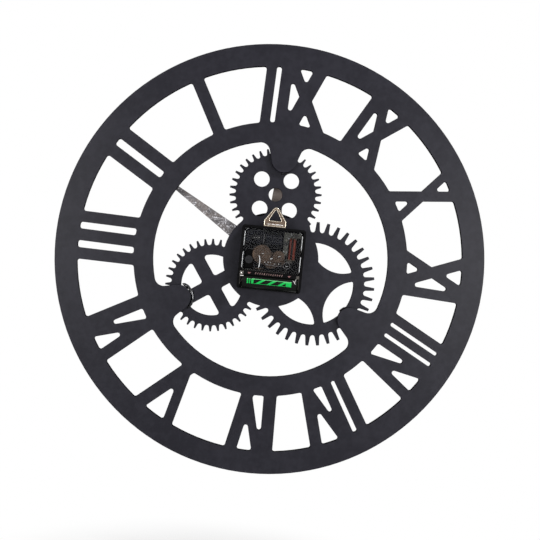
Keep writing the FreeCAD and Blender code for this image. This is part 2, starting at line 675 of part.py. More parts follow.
def glue_corner(sketch):
    """A quarter of a round bead in the corner between a lobe's edge and the plate's back."""
    wall = size("lobe_radius")
    bead = size("glue_width")
    bend = bead * math.sqrt(0.5)
    outline_in(sketch, (
        (Vector(wall, 0, 0), Vector(wall + bead, 0, 0)),
        (Vector(wall + bead, 0, 0), Vector(wall + bend, bend, 0), Vector(wall, bead, 0)),
        (Vector(wall, bead, 0), Vector(wall, 0, 0)),
    ))


beads = []
for hour, start, span in GLUE_SPANS:
    lobe_turn = f"(ring_turn + {hour * 360 / HOURS})"
    x, z = at(lobe_turn, "(lobe_tip_distance + lobe_radius)")
    bead = body(f"bead_{hour}", x, PLATE_BACK, z, f"{lobe_turn} + {start}")
    sketch = bead.newObject("Sketcher::SketchObject", f"bead_{hour}_sketch")
    plane = next(item for item in bead.Origin.OriginFeatures if item.Role == "XY_Plane")
    sketch.AttachmentSupport = [(plane, "")]
    sketch.MapMode = "FlatFace"
    glue_corner(sketch)
    ring = bead.newObject("PartDesign::Revolution", f"bead_{hour}_ring")
    ring.Profile = sketch
    ring.ReferenceAxis = (sketch, ["V_Axis"])
    ring.Angle = span
    beads.append(bead)
glue = doc.addObject("Part::Compound", "glue_beads")
glue.Links = beads
label(glue, "glue_beads")


# The disc, gasket, washer and nut on the bush

def bored_disc(name, radius, bore, depth):
    """A flat ring on the bush."""
    span = (f"{depth[0]} - overrun", f"{depth[1]} + overrun")
    return cut(name, rod(name + "_blank", radius, depth), rod(name + "_bore", bore, span))


label(bored_disc("centre_disc", "disc_radius", "bush_radius + mounting_play", (PLATE_FRONT, DISC_FRONT)),
      "centre_disc")
label(bored_disc("rubber_gasket", "gasket_radius", "bush_radius + mounting_play", (CASE_FRONT, PLATE_BACK)),
      "rubber_gasket")
label(bored_disc("washer", "washer_radius", "bush_radius + mounting_play", (DISC_FRONT, WASHER_FRONT)),
      "washer")


def hexagon(sketch):
    """The nut's outline with two flats level."""
    corner = size("nut_flats") / math.sqrt(3)
    points = [Vector(corner * math.cos(math.radians(60 * k)), corner * math.sin(math.radians(60 * k)),
                     0) for k in range(6)]
    outline_in(sketch, [(points[k - 1], points[k]) for k in range(6)])


nut = body("bush_nut", depth=WASHER_FRONT)
pad(nut, "nut_pad", hexagon, "nut_thickness")
pocket(nut, "nut_bore", lambda sketch: circle_in(sketch, "bush_radius"), "nut_thickness")
label(nut, "bush_nut")


# The movement's case

def rounded_rectangle(left, right, low, high, corner):
    """A drawing function for a rectangle with round corners."""
    def draw(sketch):
        bend = corner * (1 - math.sqrt(0.5))
        outline_in(sketch, (
            (Vector(left + corner, low, 0), Vector(right - corner, low, 0)),
            (Vector(right - corner, low, 0), Vector(right - bend, low + bend, 0),
             Vector(right, low + corner, 0)),
            (Vector(right, low + corner, 0), Vector(right, high - corner, 0)),
            (Vector(right, high - corner, 0), Vector(right - bend, high - bend, 0),
             Vector(right - corner, high, 0)),
            (Vector(right - corner, high, 0), Vector(left + corner, high, 0)),
            (Vector(left + corner, high, 0), Vector(left + bend, high - bend, 0),
             Vector(left, high - corner, 0)),
            (Vector(left, high - corner, 0), Vector(left, low + corner, 0)),
            (Vector(left, low + corner, 0), Vector(left + bend, low + bend, 0),
             Vector(left + corner, low, 0)),
        ))
    return draw


half = size("case_half")
case_blank = body("case_blank")
pad(case_blank, "case_pad", rounded_rectangle(-half, half, -half, half, size("case_corner")), "case_depth")
INNER = "(case_half - case_wall)"
LOWER = f"({INNER} - ledge)"
BAY_TOP = "(-divider_drop - divider_wall)"
BAY_FLOOR = "(-case_half + bay_floor)"
NOTCH = "(contact_sheet + 2 * cover_play)"
case_cuts = [
    block("cover_seat", (f"-{INNER}", INNER), ("-overrun", SKIRT_FRONT), ("-divider_drop", INNER)),
    block("chamber", (f"-{LOWER}", LOWER), ("-overrun", CHAMBER_FRONT), ("-divider_drop", LOWER)),
    block("bay", (f"-{INNER}", INNER), ("lip_thickness", CHAMBER_FRONT), (BAY_FLOOR, BAY_TOP)),
    block("bay_mouth", (f"-{INNER}", INNER), ("-overrun", "lip_thickness + overrun"),
          (BAY_FLOOR, f"{BAY_TOP} - lip_reach")),
    block("floor_step", (f"-{INNER}", INNER), ("-overrun", "bay_step"), ("-case_half - overrun", BAY_FLOOR)),
]
for side, sign in (("left", ""), ("right", "-")):
    pair = (f"{LOWER} - {NOTCH}", LOWER) if sign == "" else (f"-{LOWER}", f"-({LOWER} - {NOTCH})")
    case_cuts.append(block(f"strip_notch_{side}", pair,
                           (SKIRT_FRONT, f"{SKIRT_FRONT} + strip_width + cover_play"),
                           (f"{BAY_TOP} - overrun", "-divider_drop + overrun")))
    case_cuts.append(block(f"lip_notch_{side}",
                           (f"{INNER} - contact_tab - cover_play", INNER) if sign == "" else
                           (f"-{INNER}", f"-({INNER} - contact_tab - cover_play)"),
                           ("-overrun", "lip_thickness + overrun"), (f"{BAY_TOP} - lip_reach - overrun",
                                                                     BAY_TOP)))
tray = cut("case_tray", case_blank, *case_cuts)

BEARING = "(pivot_radius + running_fit)"
BEARING_DEPTH = "(pivot_depth + running_fit)"
SOCKETS = (("arbor", ("0", "0"), "(seconds_arbor + running_fit)"), ("third", THIRD, BEARING),
           ("middle", MIDDLE, BEARING), ("rotor", ROTOR, BEARING))
panel_span = ("panel_depth", "case_depth")
case_adds = [
    tray,
    block("plain_panel", ("plain_panel_left", "plain_panel_right"), panel_span,
          ("panel_foot", "plain_panel_top")),
    block("bare_panel", ("-bare_panel_left", "bare_panel_right"), panel_span,
          ("panel_foot", "bare_panel_top")),
    block("tongue", ("-hanger_half + hanger_sheet + cover_play", "hanger_half - hanger_sheet - cover_play"),
          ("hanger_set_back + hanger_sheet", "hanger_set_back + hanger_sheet + tongue_thickness"),
          ("case_half", "case_half + hanger_foot - cover_play")),
    rod("bush", "bush_radius", (CHAMBER_FRONT, "bush_end")),
    rod("rivet_post", "rivet_stem", ("coil_depth - core_sheet / 2", "case_depth"), "-rivet_side",
        "-rivet_drop"),
    rod("rivet_head", "rivet_radius", ("coil_depth - core_sheet / 2 - rivet_height",
                                       "coil_depth - core_sheet / 2"),
        "-rivet_side", "-rivet_drop"),
]
for number, (x, z) in enumerate((("train_plate_right - post_radius", "train_plate_top - post_radius"),
                                 ("-train_plate_left + post_radius", "train_plate_top - post_radius"),
                                 ("train_plate_right - post_radius", "-train_plate_drop + post_radius"),
                                 ("-post_side", "-train_plate_drop + post_radius"))):
    case_adds.append(rod(f"post_{number}", "post_radius",
                         ("plate_depth + train_plate_thickness", "case_depth"), x, z))
for side, pair in (("left", (f"{INNER} - nib", INNER)), ("right", (f"-{INNER}", f"-({INNER} - nib)"))):
    case_adds.append(block(f"nib_{side}", pair, ("cover_play", "cover_thickness"), ("nib_low", "nib_high")))
case_solid = fuse("case_solid", *case_adds)
case_bores = [
    rod("pipe_bore", "pipe_radius + running_fit", (f"{CHAMBER_FRONT} - overrun", "bush_end + overrun")),
    rod("motion_bearing", BEARING, (f"{CHAMBER_FRONT} - overrun", f"{CHAMBER_FRONT} + {BEARING_DEPTH}"),
        *MOTION),
    rod("knob_bearing", BEARING, (f"{CHAMBER_FRONT} - overrun", f"{CHAMBER_FRONT} + {BEARING_DEPTH}"), *KNOB),
    rod("panel_eye", "eye_radius", ("panel_depth - overrun", "panel_depth + panel_recess"), "eye_side",
        "eye_rise"),
    block("bare_field", ("-bare_panel_left + nib", "bare_panel_right - nib"),
          ("panel_depth - overrun", "panel_depth + cover_play"), ("panel_foot + nib",
                                                                  "bare_panel_top - nib")),
]
label(cut("movement_case", case_solid, *case_bores), "movement_case")


# The clear cover

COVER_HALF = size("case_half") - size("case_wall") - size("cover_play")
cover_low = -size("divider_drop") + size("cover_play")
cover_blank = body("cover_blank")
pad(cover_blank, "cover_pad", rounded_rectangle(-COVER_HALF, COVER_HALF, cover_low, COVER_HALF,
                                                size("case_corner") / 2),
    f"{SKIRT_FRONT}")
wall = size("skirt_wall")
pocket(cover_blank, "cover_hollow", rounded_rectangle(-COVER_HALF + wall, COVER_HALF - wall, cover_low + wall,
                                                      COVER_HALF - wall, size("case_corner") / 2 - wall / 2),
       "skirt_depth", "cover_thickness")
RIM = f"({INNER} - cover_play)"
cover_adds = [cover_blank]
for name, (x, z), _bore in SOCKETS:
    cover_adds.append(rod(f"boss_{name}", "boss_radius",
                          ("cover_thickness", "cover_thickness + boss_height"), x, z))
cover_adds.append(block("well_rib", ("rib_side - skirt_wall / 2", "rib_side + skirt_wall / 2"),
                        ("cover_thickness", "cover_thickness + boss_height"), ("-window_drop",
                                                                               "boss_radius")))
cover_adds.append(block("coil_rib", ("-coil_side - boss_radius", "-coil_side + boss_radius"),
                        ("cover_thickness", "cover_thickness + skirt_depth / 2"), ("coil_foot",
                                                                                   "coil_top - skirt_wall")))
cover_cuts = [block("knob_window", ("window_left", "window_right"), ("-overrun", f"{SKIRT_FRONT} + overrun"),
                    ("-window_drop", "window_top"))]
for side, pair in (("left", (f"{INNER} - nib - cover_play", f"{INNER} + overrun")),
                   ("right", (f"-({INNER} + overrun)", f"-({INNER} - nib - cover_play)"))):
    cover_cuts.append(block(f"nib_gap_{side}", pair, ("-overrun", "cover_thickness + cover_play"),
                            ("nib_low - cover_play", "nib_high + cover_play")))
for name, (x, z), bore in SOCKETS:
    cover_cuts.append(rod(f"bearing_{name}", bore,
                          (f"cover_thickness + boss_height - {BEARING_DEPTH}",
                           "cover_thickness + boss_height + overrun"), x, z))
label(cut("movement_cover", fuse("cover_solid", *cover_adds), *cover_cuts), "movement_cover")


# The train plate that carries the wheels' front pivots

plate_rear = ("plate_depth", "plate_depth + train_plate_thickness")
train_blank = block("train_blank", ("-train_plate_left", "train_plate_right"), plate_rear,
                    ("-train_plate_drop", "train_plate_top"))
through = ("plate_depth - overrun", "plate_depth + train_plate_thickness + overrun")
train_cuts = [rod("arbor_way", "arbor_flange + cover_play", through),
              rod("knob_way", "knob_stem + running_fit", through, *KNOB)]
for name, (x, z) in (("third", THIRD), ("rotor", ROTOR), ("motion", MOTION)):
    train_cuts.append(rod(f"plate_bearing_{name}", BEARING, through, x, z))
label(cut("train_plate", train_blank, *train_cuts), "train_plate")

# The bridge behind the centre wheel, on two pillars, for the intermediate wheel's front pivot
bridge_span = ("bridge_depth", "bridge_depth + train_plate_thickness")
pillar_side = "train_plate_top - pillar_radius"
bridge_adds = [
    block("bridge_bar", ("-train_plate_top", "train_plate_top"), bridge_span,
          ("train_plate_top - 2 * pillar_radius", "train_plate_top")),
    block("bridge_arm", (f"{MIDDLE[0]} - bridge_arm_half", f"{MIDDLE[0]} + bridge_arm_half"), bridge_span,
          (f"{MIDDLE[1]} - bridge_arm_half", "train_plate_top")),
    rod("pillar_left", "pillar_radius", ("bridge_depth", "plate_depth"), f"-({pillar_side})", pillar_side),
    rod("pillar_right", "pillar_radius", ("bridge_depth", "plate_depth"), pillar_side, pillar_side),
]
label(cut("train_bridge", fuse("bridge_solid", *bridge_adds),
          rod("bridge_bearing", BEARING, ("bridge_depth - overrun",
                                          "bridge_depth + train_plate_thickness + overrun"),
              *MIDDLE)), "train_bridge")


# Wheels and pinions of the train

def tooth_outline(teeth, pitch_radius, offset=0.0):
    """A drawing function for a toothed disc: trapezoid teeth that stand half a module proud."""
    def draw(sketch):
        module = 2 * pitch_radius / teeth
        tip = pitch_radius + TOOTH_TIP_SHARE * module
        root = pitch_radius - TOOTH_ROOT_SHARE * module
        thick = 2 * math.pi / teeth * size("tooth_share")
        points = []
        for number in range(int(teeth)):
            middle = math.pi / 2 - math.radians(offset) - 2 * math.pi * number / teeth
            for radius, half_share in ((root, -BASE_SHARE), (tip, -CREST_SHARE), (tip, CREST_SHARE),
                                       (root, BASE_SHARE)):
                angle = middle - thick * half_share
                points.append(Vector(radius * math.cos(angle), radius * math.sin(angle), 0))
        outline_in(sketch, [(points[k - 1], points[k]) for k in range(len(points))])
    return draw


TOOTH_TIP_SHARE = 0.75
TOOTH_ROOT_SHARE = 1.05
BASE_SHARE = 0.85
CREST_SHARE = 0.3


def pitch_radii(distance, driver_teeth, follower_teeth):
    """The pitch radii of two wheels that mesh at a distance."""
    total = driver_teeth + follower_teeth
    return distance * driver_teeth / total, distance * follower_teeth / total


def mesh_offset(driver_teeth, driver_offset, follower_teeth, towards):
    """The turn that puts a follower's gap on a driver's tooth; towards is the driver's direction to it."""
    driver_pitch = 360 / driver_teeth
    phase = ((towards - driver_offset) / driver_pitch) % 1
    return (towards + 180) + (0.5 + phase) * 360 / follower_teeth


def round_rod(owner, name, radius, start, length):
    """A round section of an arbor."""
    return pad(owner, name, lambda sketch: circle_in(sketch, radius), length, start)


centre_radius, third_pinion_radius = pitch_radii(size("third_distance"), size("centre_teeth"),
                                                 size("third_leaves"))
seconds_pinion_radius, third_radius = pitch_radii(size("third_distance"), size("seconds_leaves"),
                                                  size("third_teeth"))
seconds_radius, middle_pinion_radius = pitch_radii(size("middle_distance"), size("seconds_teeth"),
                                                   size("middle_leaves"))
middle_radius, rotor_pinion_radius = pitch_radii(size("rotor_distance"), size("middle_teeth"),
                                                 size("rotor_leaves"))
cannon_radius, motion_radius = pitch_radii(size("motion_distance"), size("cannon_leaves"),
                                           size("motion_teeth"))
hour_radius, motion_pinion_radius = pitch_radii(size("motion_distance"), size("hour_teeth"),
                                                size("motion_leaves"))

seconds_offset = 0.0
third_offset = mesh_offset(size("seconds_leaves"), seconds_offset, size("third_teeth"),
                           size("third_direction"))
third_pinion_offset = mesh_offset(size("centre_teeth"), 0.0, size("third_leaves"), size("third_direction"))
middle_pinion_offset = mesh_offset(size("seconds_teeth"), seconds_offset, size("middle_leaves"),
                                   size("middle_direction"))
rotor_offset = mesh_offset(size("middle_teeth"), 0.0, size("rotor_leaves"), size("rotor_direction"))
motion_offset = mesh_offset(size("cannon_leaves"), 0.0, size("motion_teeth"), size("motion_direction"))
motion_pinion_offset = mesh_offset(size("hour_teeth"), 0.0, size("motion_leaves"), size("motion_direction"))
knob_offset = mesh_offset(size("motion_teeth"), motion_offset, size("knob_leaves"), size("knob_direction"))

REAR_PIVOT = "cover_thickness + boss_height - pivot_depth"
PLATE_PIVOT = "plate_depth + pivot_depth"

seconds = body("seconds_wheel")
pad(seconds, "seconds_rim", tooth_outline(size("seconds_teeth"), seconds_radius, seconds_offset),
    "wheel_thickness", "seconds_depth")
pad(seconds, "seconds_pinion", tooth_outline(size("seconds_leaves"), seconds_pinion_radius, seconds_offset),
    "seconds_depth - third_depth + running_fit", "third_depth - running_fit")
round_rod(seconds, "seconds_shaft", "seconds_arbor", REAR_PIVOT, f"seconds_end - ({REAR_PIVOT})")
label(seconds, "seconds_wheel")

third = body("third_wheel", THIRD[0], "0", THIRD[1])
pad(third, "third_rim", tooth_outline(size("third_teeth"), third_radius, third_offset), "wheel_thickness",
    "third_depth")
pad(third, "third_pinion", tooth_outline(size("third_leaves"), third_pinion_radius, third_pinion_offset),
    "centre_depth + wheel_thickness - third_depth", "third_depth")
round_rod(third, "third_shaft", "pivot_radius", REAR_PIVOT, f"{PLATE_PIVOT} - ({REAR_PIVOT})")
label(third, "third_wheel")

middle = body("intermediate_wheel", MIDDLE[0], "0", MIDDLE[1])
pad(middle, "middle_rim", tooth_outline(size("middle_teeth"), middle_radius), "wheel_thickness",
    "middle_depth")
pad(middle, "middle_pinion", tooth_outline(size("middle_leaves"), middle_pinion_radius, middle_pinion_offset),
    "seconds_depth + wheel_thickness - middle_depth", "middle_depth")
round_rod(middle, "middle_shaft", "pivot_radius", REAR_PIVOT, f"bridge_depth + pivot_depth - ({REAR_PIVOT})")
label(middle, "intermediate_wheel")

rotor = body("rotor", ROTOR[0], "0", ROTOR[1])
round_rod(rotor, "magnet", "magnet_radius", "magnet_depth", "magnet_length")
pad(rotor, "rotor_pinion", tooth_outline(size("rotor_leaves"), rotor_pinion_radius, rotor_offset),
    "wheel_thickness + 4 * running_fit", "middle_depth - 2 * running_fit")
round_rod(rotor, "hub", "rotor_hub", "middle_depth + 2 * wheel_thickness",
          "magnet_depth - middle_depth - 2 * wheel_thickness")
round_rod(rotor, "rotor_shaft", "pivot_radius", REAR_PIVOT, f"{PLATE_PIVOT} - ({REAR_PIVOT})")
label(rotor, "rotor")

centre = body("centre_wheel")
pad(centre, "centre_rim", tooth_outline(size("centre_teeth"), centre_radius), "wheel_thickness",
    "centre_depth")
pocket(centre, "centre_bore", lambda sketch: circle_in(sketch, "arbor_radius + running_fit"),
       "wheel_thickness", "centre_depth")
label(centre, "centre_wheel")


# The motion work: what the setting knob turns and what carries the hands

CLUTCH_REAR = "centre_depth - running_fit - flange_thickness / 2"
arbor = body("minute_arbor")
round_rod(arbor, "arbor_tube", "arbor_radius", f"{CLUTCH_REAR} - flange_thickness",
          f"shoulder_end - ({CLUTCH_REAR} - flange_thickness)")
round_rod(arbor, "rear_flange", "arbor_flange", f"{CLUTCH_REAR} - flange_thickness", "flange_thickness")
round_rod(arbor, "front_flange", "arbor_flange", "centre_depth + wheel_thickness + running_fit",
          "flange_thickness")
pad(arbor, "cannon_pinion", tooth_outline(size("cannon_leaves"), cannon_radius),
    "motion_thickness + 4 * running_fit",
    "motion_depth - 2 * running_fit")
round_rod(arbor, "stud", "stud_radius", "shoulder_end", "stud_end - shoulder_end")
pocket(arbor, "seconds_way", lambda sketch: circle_in(sketch, "seconds_arbor + running_fit"),
       "seconds_end + overrun", "0")
label(arbor, "minute_arbor")
label(bored_disc("clutch_washer", "arbor_flange", "arbor_radius",
                 (CLUTCH_REAR, f"{CLUTCH_REAR} + flange_thickness / 2")), "clutch_washer")

motion = body("minute_wheel", MOTION[0], "0", MOTION[1])
pad(motion, "motion_rim", tooth_outline(size("motion_teeth"), motion_radius, motion_offset),
    "motion_thickness", "motion_depth")
pad(motion, "motion_pinion", tooth_outline(size("motion_leaves"), motion_pinion_radius, motion_pinion_offset),
    "hour_depth + motion_thickness - motion_depth", "motion_depth")
MOTION_REAR = "plate_depth + train_plate_thickness - pivot_depth"
round_rod(motion, "motion_shaft", "pivot_radius", MOTION_REAR,
          f"{CHAMBER_FRONT} + pivot_depth - ({MOTION_REAR})")
label(motion, "minute_wheel")

hour = body("hour_wheel")
pad(hour, "hour_rim", tooth_outline(size("hour_teeth"), hour_radius), "motion_thickness", "hour_depth")
round_rod(hour, "hour_seat", "bush_radius", "hour_depth", f"{CHAMBER_FRONT} - running_fit - hour_depth")
round_rod(hour, "hour_pipe", "pipe_radius", "hour_depth", "pipe_end - hour_depth")
pocket(hour, "hour_bore", lambda sketch: circle_in(sketch, "arbor_radius + running_fit"),
       "pipe_end - hour_depth", "hour_depth")
label(hour, "hour_wheel")


def knob_groove(sketch):
    """A three-cornered groove in the edge of the setting knob."""
    depth = size("ridge_depth")
    rim = size("knob_radius")
    points = (Vector(0, rim - depth, 0), Vector(2 * depth, rim + depth, 0),
              Vector(-2 * depth, rim + depth, 0))
    outline_in(sketch, [(points[k - 1], points[k]) for k in range(len(points))])


def knob_cross(sketch):
    """The slot across the setting knob's face, for a fingertip or a coin."""
    reach = size("slot_reach")
    wide = size("knob_slot") / 2
    corners = [Vector(-reach, -wide, 0), Vector(reach, -wide, 0), Vector(reach, wide, 0),
               Vector(-reach, wide, 0)]
    outline_in(sketch, [(corners[k - 1], corners[k]) for k in range(4)])


knob = body("setting_knob", KNOB[0], "0", KNOB[1])
round_rod(knob, "knob_grip", "knob_radius", "knob_rear", "knob_length")
groove = pocket(knob, "knob_groove", knob_groove, "knob_length", "knob_rear")
doc.recompute()
repeat(knob, groove, "knob_grooves", int(size("knob_ridges")))
pocket(knob, "knob_slot_cut", knob_cross, "knob_slot", "knob_rear")
round_rod(knob, "knob_stem_rod", "knob_stem", "knob_rear + knob_length",
          "motion_depth - knob_rear - knob_length")
pad(knob, "knob_pinion", tooth_outline(size("knob_leaves"), size("knob_distance") * size("knob_leaves")
                                       / (size("knob_leaves") + size("motion_teeth")), knob_offset),
    "motion_thickness + 4 * running_fit", "motion_depth - 2 * running_fit")
KNOB_PIVOT = "motion_depth + motion_thickness"
round_rod(knob, "knob_foot", "knob_stem", KNOB_PIVOT, f"{CHAMBER_FRONT} - running_fit - ({KNOB_PIVOT})")
round_rod(knob, "knob_pivot", "pivot_radius", KNOB_PIVOT, f"{CHAMBER_FRONT} + pivot_depth - ({KNOB_PIVOT})")
label(knob, "setting_knob")


# The stepping motor and its circuit

core_span = ("coil_depth - core_sheet / 2", "coil_depth + core_sheet / 2")
stator_adds = [
    block("core", ("-coil_side - core_width / 2", "-coil_side + core_width / 2"), core_span,
          ("coil_foot - core_width", "coil_top + core_width")),
    block("top_yoke", ("-coil_side - core_width / 2", "-board_inner"), core_span,
          ("coil_top", "coil_top + core_width")),
    block("inner_leg", ("-board_inner - core_width", "-board_inner"), core_span,
          (ROTOR[1], "coil_top + core_width")),
    block("lower_yoke", ("-coil_side - core_width / 2", ROTOR[0]), core_span,
          ("coil_foot - core_width", "coil_foot - core_play")),
    rod("rotor_collar", "stator_ring", core_span, *ROTOR),
    block("rivet_tab", ("-rivet_side - rivet_stem * 2", "-rivet_side + rivet_stem * 2"), core_span,
          ("-rivet_drop - rivet_stem * 2", "coil_foot - core_width")),
]
core_through = ("coil_depth - core_sheet", "coil_depth + core_sheet")
stator_cuts = [
    rod("rotor_way", "magnet_radius + air_gap", core_through, *ROTOR),
    rod("rivet_way", "rivet_stem", core_through, "-rivet_side", "-rivet_drop"),
]
label(cut("stator", fuse("stator_solid", *stator_adds), *stator_cuts), "stator")


def upright_rod(name, radius, low, high):
    """A round rod along the coil's upright axis."""
    item = doc.addObject("Part::Cylinder", name)
    item.setExpression("Radius", expression(radius))
    item.setExpression("Height", expression(f"({high}) - ({low})"))
    return place(item, "-coil_side", "coil_depth", low)


SPOOL_HALF = "(coil_radius + cover_play)"
SPOOL_REAR = f"coil_depth - {SPOOL_HALF}"
spool_depth = (SPOOL_REAR, f"coil_depth + {SPOOL_HALF}")
spool_side = (f"-coil_side - {SPOOL_HALF}", f"-coil_side + {SPOOL_HALF}")
spool_adds = [
    upright_rod("spool_tube", "spool_radius", "coil_foot", "coil_top"),
    block("spool_top", spool_side, spool_depth, ("coil_top - spool_flange", "coil_top")),
    block("spool_bottom", spool_side, spool_depth, ("coil_foot", "coil_foot + spool_flange")),
]
core_hole = block("core_hole", ("-coil_side - core_width / 2 - core_play",
                                "-coil_side + core_width / 2 + core_play"),
                  ("coil_depth - core_sheet / 2 - core_play", "coil_depth + core_sheet / 2 + core_play"),
                  ("coil_foot - overrun", "coil_top + overrun"))
label(cut("coil_spool", fuse("spool_solid", *spool_adds), core_hole), "coil_spool")
label(cut("coil_winding", upright_rod("wound_wire", "coil_radius", "coil_foot + spool_flange",
                                      "coil_top - spool_flange"),
          upright_rod("wound_core", "spool_radius", "coil_foot", "coil_top")), "coil_winding")

BOARD_REAR = f"({SPOOL_REAR} - board_thickness)"
BOARD_OUTER = f"({LOWER} - cover_play - contact_sheet)"
board_span = (BOARD_REAR, SPOOL_REAR)
label(fuse("circuit_board",
           block("board_inner_arm", ("-board_inner - board_arm", "-board_inner"), board_span,
                 ("board_foot", "board_top")),
           block("board_top_arm", (f"-{BOARD_OUTER}", "-board_inner"), board_span,
                 ("board_top - board_arm", "board_top"))),
      "circuit_board")
label(rod("chip", "chip_radius", (f"{BOARD_REAR} - chip_height", BOARD_REAR), "-board_inner - board_arm / 2",
          "(board_foot + board_top) / 2"), "chip")

crystal = doc.addObject("Part::Cylinder", "quartz_crystal")
crystal.setExpression("Radius", expression("crystal_radius"))
crystal.setExpression("Height", expression("crystal_length"))
crystal_base = expression(f"vector(-{BOARD_OUTER} + board_arm / 2; -({BOARD_REAR} - crystal_radius); "
                          "board_top - board_arm / 2)")
crystal.setExpression("Placement", f"placement({crystal_base}; rotation(vector(0; 1; 0); 90))")
label(crystal, "quartz_crystal")


# The battery and its contacts

def cell_profile(sketch):
    """Half of the cell's lengthwise outline: both shoulders eased, and the positive terminal."""
    radius = size("cell_radius")
    ease = size("cell_shoulder")
    end = size("cell_length") - size("terminal_height")
    corner = ease * EASED_CORNER_SHARE
    points = (
        Vector(0, 0, 0), Vector(0, radius - ease, 0), Vector(corner, radius - corner, 0), Vector(ease,
                                                                                                 radius, 0),
        Vector(end - ease, radius, 0), Vector(end - corner, radius - corner, 0), Vector(end, radius - ease,
                                                                                        0),
        Vector(end, size("terminal_radius"), 0), Vector(size("cell_length"), size("terminal_radius"), 0),
        Vector(size("cell_length"), 0, 0),
    )
    outline_in(sketch, [(points[k - 1], points[k]) for k in range(len(points))])


EASED_CORNER_SHARE = 0.3
cell = body("battery", "-cell_length / 2", "cell_depth", "-cell_drop")
cell_sketch = sketch_on(cell, "cell_profile")
cell_profile(cell_sketch)
cell_turned = cell.newObject("PartDesign::Revolution", "cell_turned")
cell_turned.Profile = cell_sketch
cell_turned.ReferenceAxis = (cell_sketch, ["H_Axis"])
cell_turned.Angle = 360
label(cell, "battery")

LEAF = ("cell_drop - contact_height / 2", "cell_drop + contact_height / 2")


def contact(name, side):
    """A leaf against one end of the cell, with a tab folded over the case and a strip to the board."""
    def across(a, b):
        return (a, b) if side == 1 else (f"-({b})", f"-({a})")
    leaf_low = f"-({LEAF[1]})"
    pieces = [
        block(name + "_leaf", across(f"{INNER} - contact_sheet", INNER), ("lip_thickness", "contact_front"),
              (leaf_low, f"{BAY_TOP} - cover_play")),
        block(name + "_tab", across(f"{INNER} - contact_tab", INNER),
              ("lip_thickness - contact_sheet", "lip_thickness"),
              (f"{BAY_TOP} - lip_reach", f"{BAY_TOP} - cover_play")),
        block(name + "_strip", across(f"{LOWER} - cover_play - contact_sheet", f"{LOWER} - cover_play"),
              (SKIRT_FRONT + " + cover_play / 2", SKIRT_FRONT + " + strip_width"),
              (f"{BAY_TOP} - cover_play - contact_sheet",
               "board_top - board_arm / 2" if side == -1 else "-divider_drop + strip_width")),
        block(name + "_bridge", across(f"{LOWER} - cover_play - contact_sheet", INNER),
              (SKIRT_FRONT + " + cover_play / 2", SKIRT_FRONT + " + strip_width"),
              (f"{BAY_TOP} - cover_play - contact_sheet", f"{BAY_TOP} - cover_play")),
    ]
    return pieces


label(fuse("negative_contact", *contact("negative", -1)), "negative_contact")
positive = contact("positive", 1)
positive.append(block("positive_lead", ("-board_inner - board_arm", f"{LOWER} - cover_play"),
                      (SKIRT_FRONT + " + cover_play / 2", SKIRT_FRONT + " + strip_width"),
                      ("-divider_drop", "-divider_drop + contact_sheet")))
positive.append(block("positive_riser",
                      ("-board_inner - board_arm", "-board_inner - board_arm + contact_sheet"),
                      (SPOOL_REAR, SKIRT_FRONT + " + strip_width"), ("-divider_drop",
                                                                     "board_foot + contact_sheet * 4")))
label(fuse("positive_contact", *positive), "positive_contact")


# The hanger: a pressed triangle whose foot is a sleeve round the case's tongue

def hanger_outline(sketch):
    """The hanger's outer outline: upright sides at the foot, then flanks up to a round tip."""
    half = size("hanger_half")
    low = size("case_half") + size("cover_play")
    shoulder = size("case_half") + size("hanger_foot")
    radius = size("hanger_tip")
    middle = Vector(0, size("case_half") + size("hanger_height") - radius, 0)
    corner = Vector(half, shoulder, 0)
    away = corner - middle
    lean = math.atan2(away.y, away.x) + math.acos(radius / away.Length)
    touch = middle + Vector(math.cos(lean), math.sin(lean), 0) * radius
    outline_in(sketch, (
        (Vector(-half, low, 0), Vector(half, low, 0)),
        (Vector(half, low, 0), corner),
        (corner, touch),
        (touch, middle + Vector(0, radius, 0), Vector(-touch.x, touch.y, 0)),
        (Vector(-touch.x, touch.y, 0), Vector(-half, shoulder, 0)),
        (Vector(-half, shoulder, 0), Vector(-half, low, 0)),
    ))


def hanger_hole(sketch):
    """The triangular hole, with round corners."""
    radius = size("hanger_hole_corner")
    half = size("hanger_hole_half") - radius
    low = size("case_half") + size("hanger_foot") + radius
    high = size("case_half") + size("hanger_foot") + size("hanger_hole_height") - radius
    lean = math.atan2(high - low, half)
    out = Vector(math.sin(lean), math.cos(lean), 0) * radius
    foot = Vector(half, low, 0)
    tip = Vector(0, high, 0)
    bend = unit(unit(out) + Vector(0, -1, 0)) * radius
    outline_in(sketch, (
        (Vector(-half, low - radius, 0), Vector(half, low - radius, 0)),
        (Vector(half, low - radius, 0), foot + bend, foot + out),
        (foot + out, tip + out),
        (tip + out, tip + Vector(0, radius, 0), tip + Vector(-out.x, out.y, 0)),
        (tip + Vector(-out.x, out.y, 0), Vector(-half - out.x, low + out.y, 0)),
        (Vector(-half - out.x, low + out.y, 0), Vector(-half - bend.x, low + bend.y, 0),
         Vector(-half, low - radius, 0)),
    ))


hanger_plate = body("hanger_plate", depth="hanger_set_back")
pad(hanger_plate, "hanger_pad", hanger_outline, "hanger_sheet")
pocket(hanger_plate, "hanger_hole_cut", hanger_hole, "hanger_sheet")
SLEEVE_INNER = ("hanger_set_back + hanger_sheet",
                "hanger_set_back + hanger_sheet + tongue_thickness + cover_play")
sleeve = block("sleeve", ("-hanger_half", "hanger_half"),
               ("hanger_set_back", f"{SLEEVE_INNER[1]} + hanger_sheet"),
               ("case_half + cover_play", "case_half + hanger_foot"))
sleeve_way = block("sleeve_way", ("-hanger_half + hanger_sheet", "hanger_half - hanger_sheet"),
                   SLEEVE_INNER, ("case_half - overrun", "case_half + hanger_foot + overrun"))
label(cut("hanger", fuse("hanger_solid", hanger_plate, sleeve), sleeve_way), "hanger")


# The hands

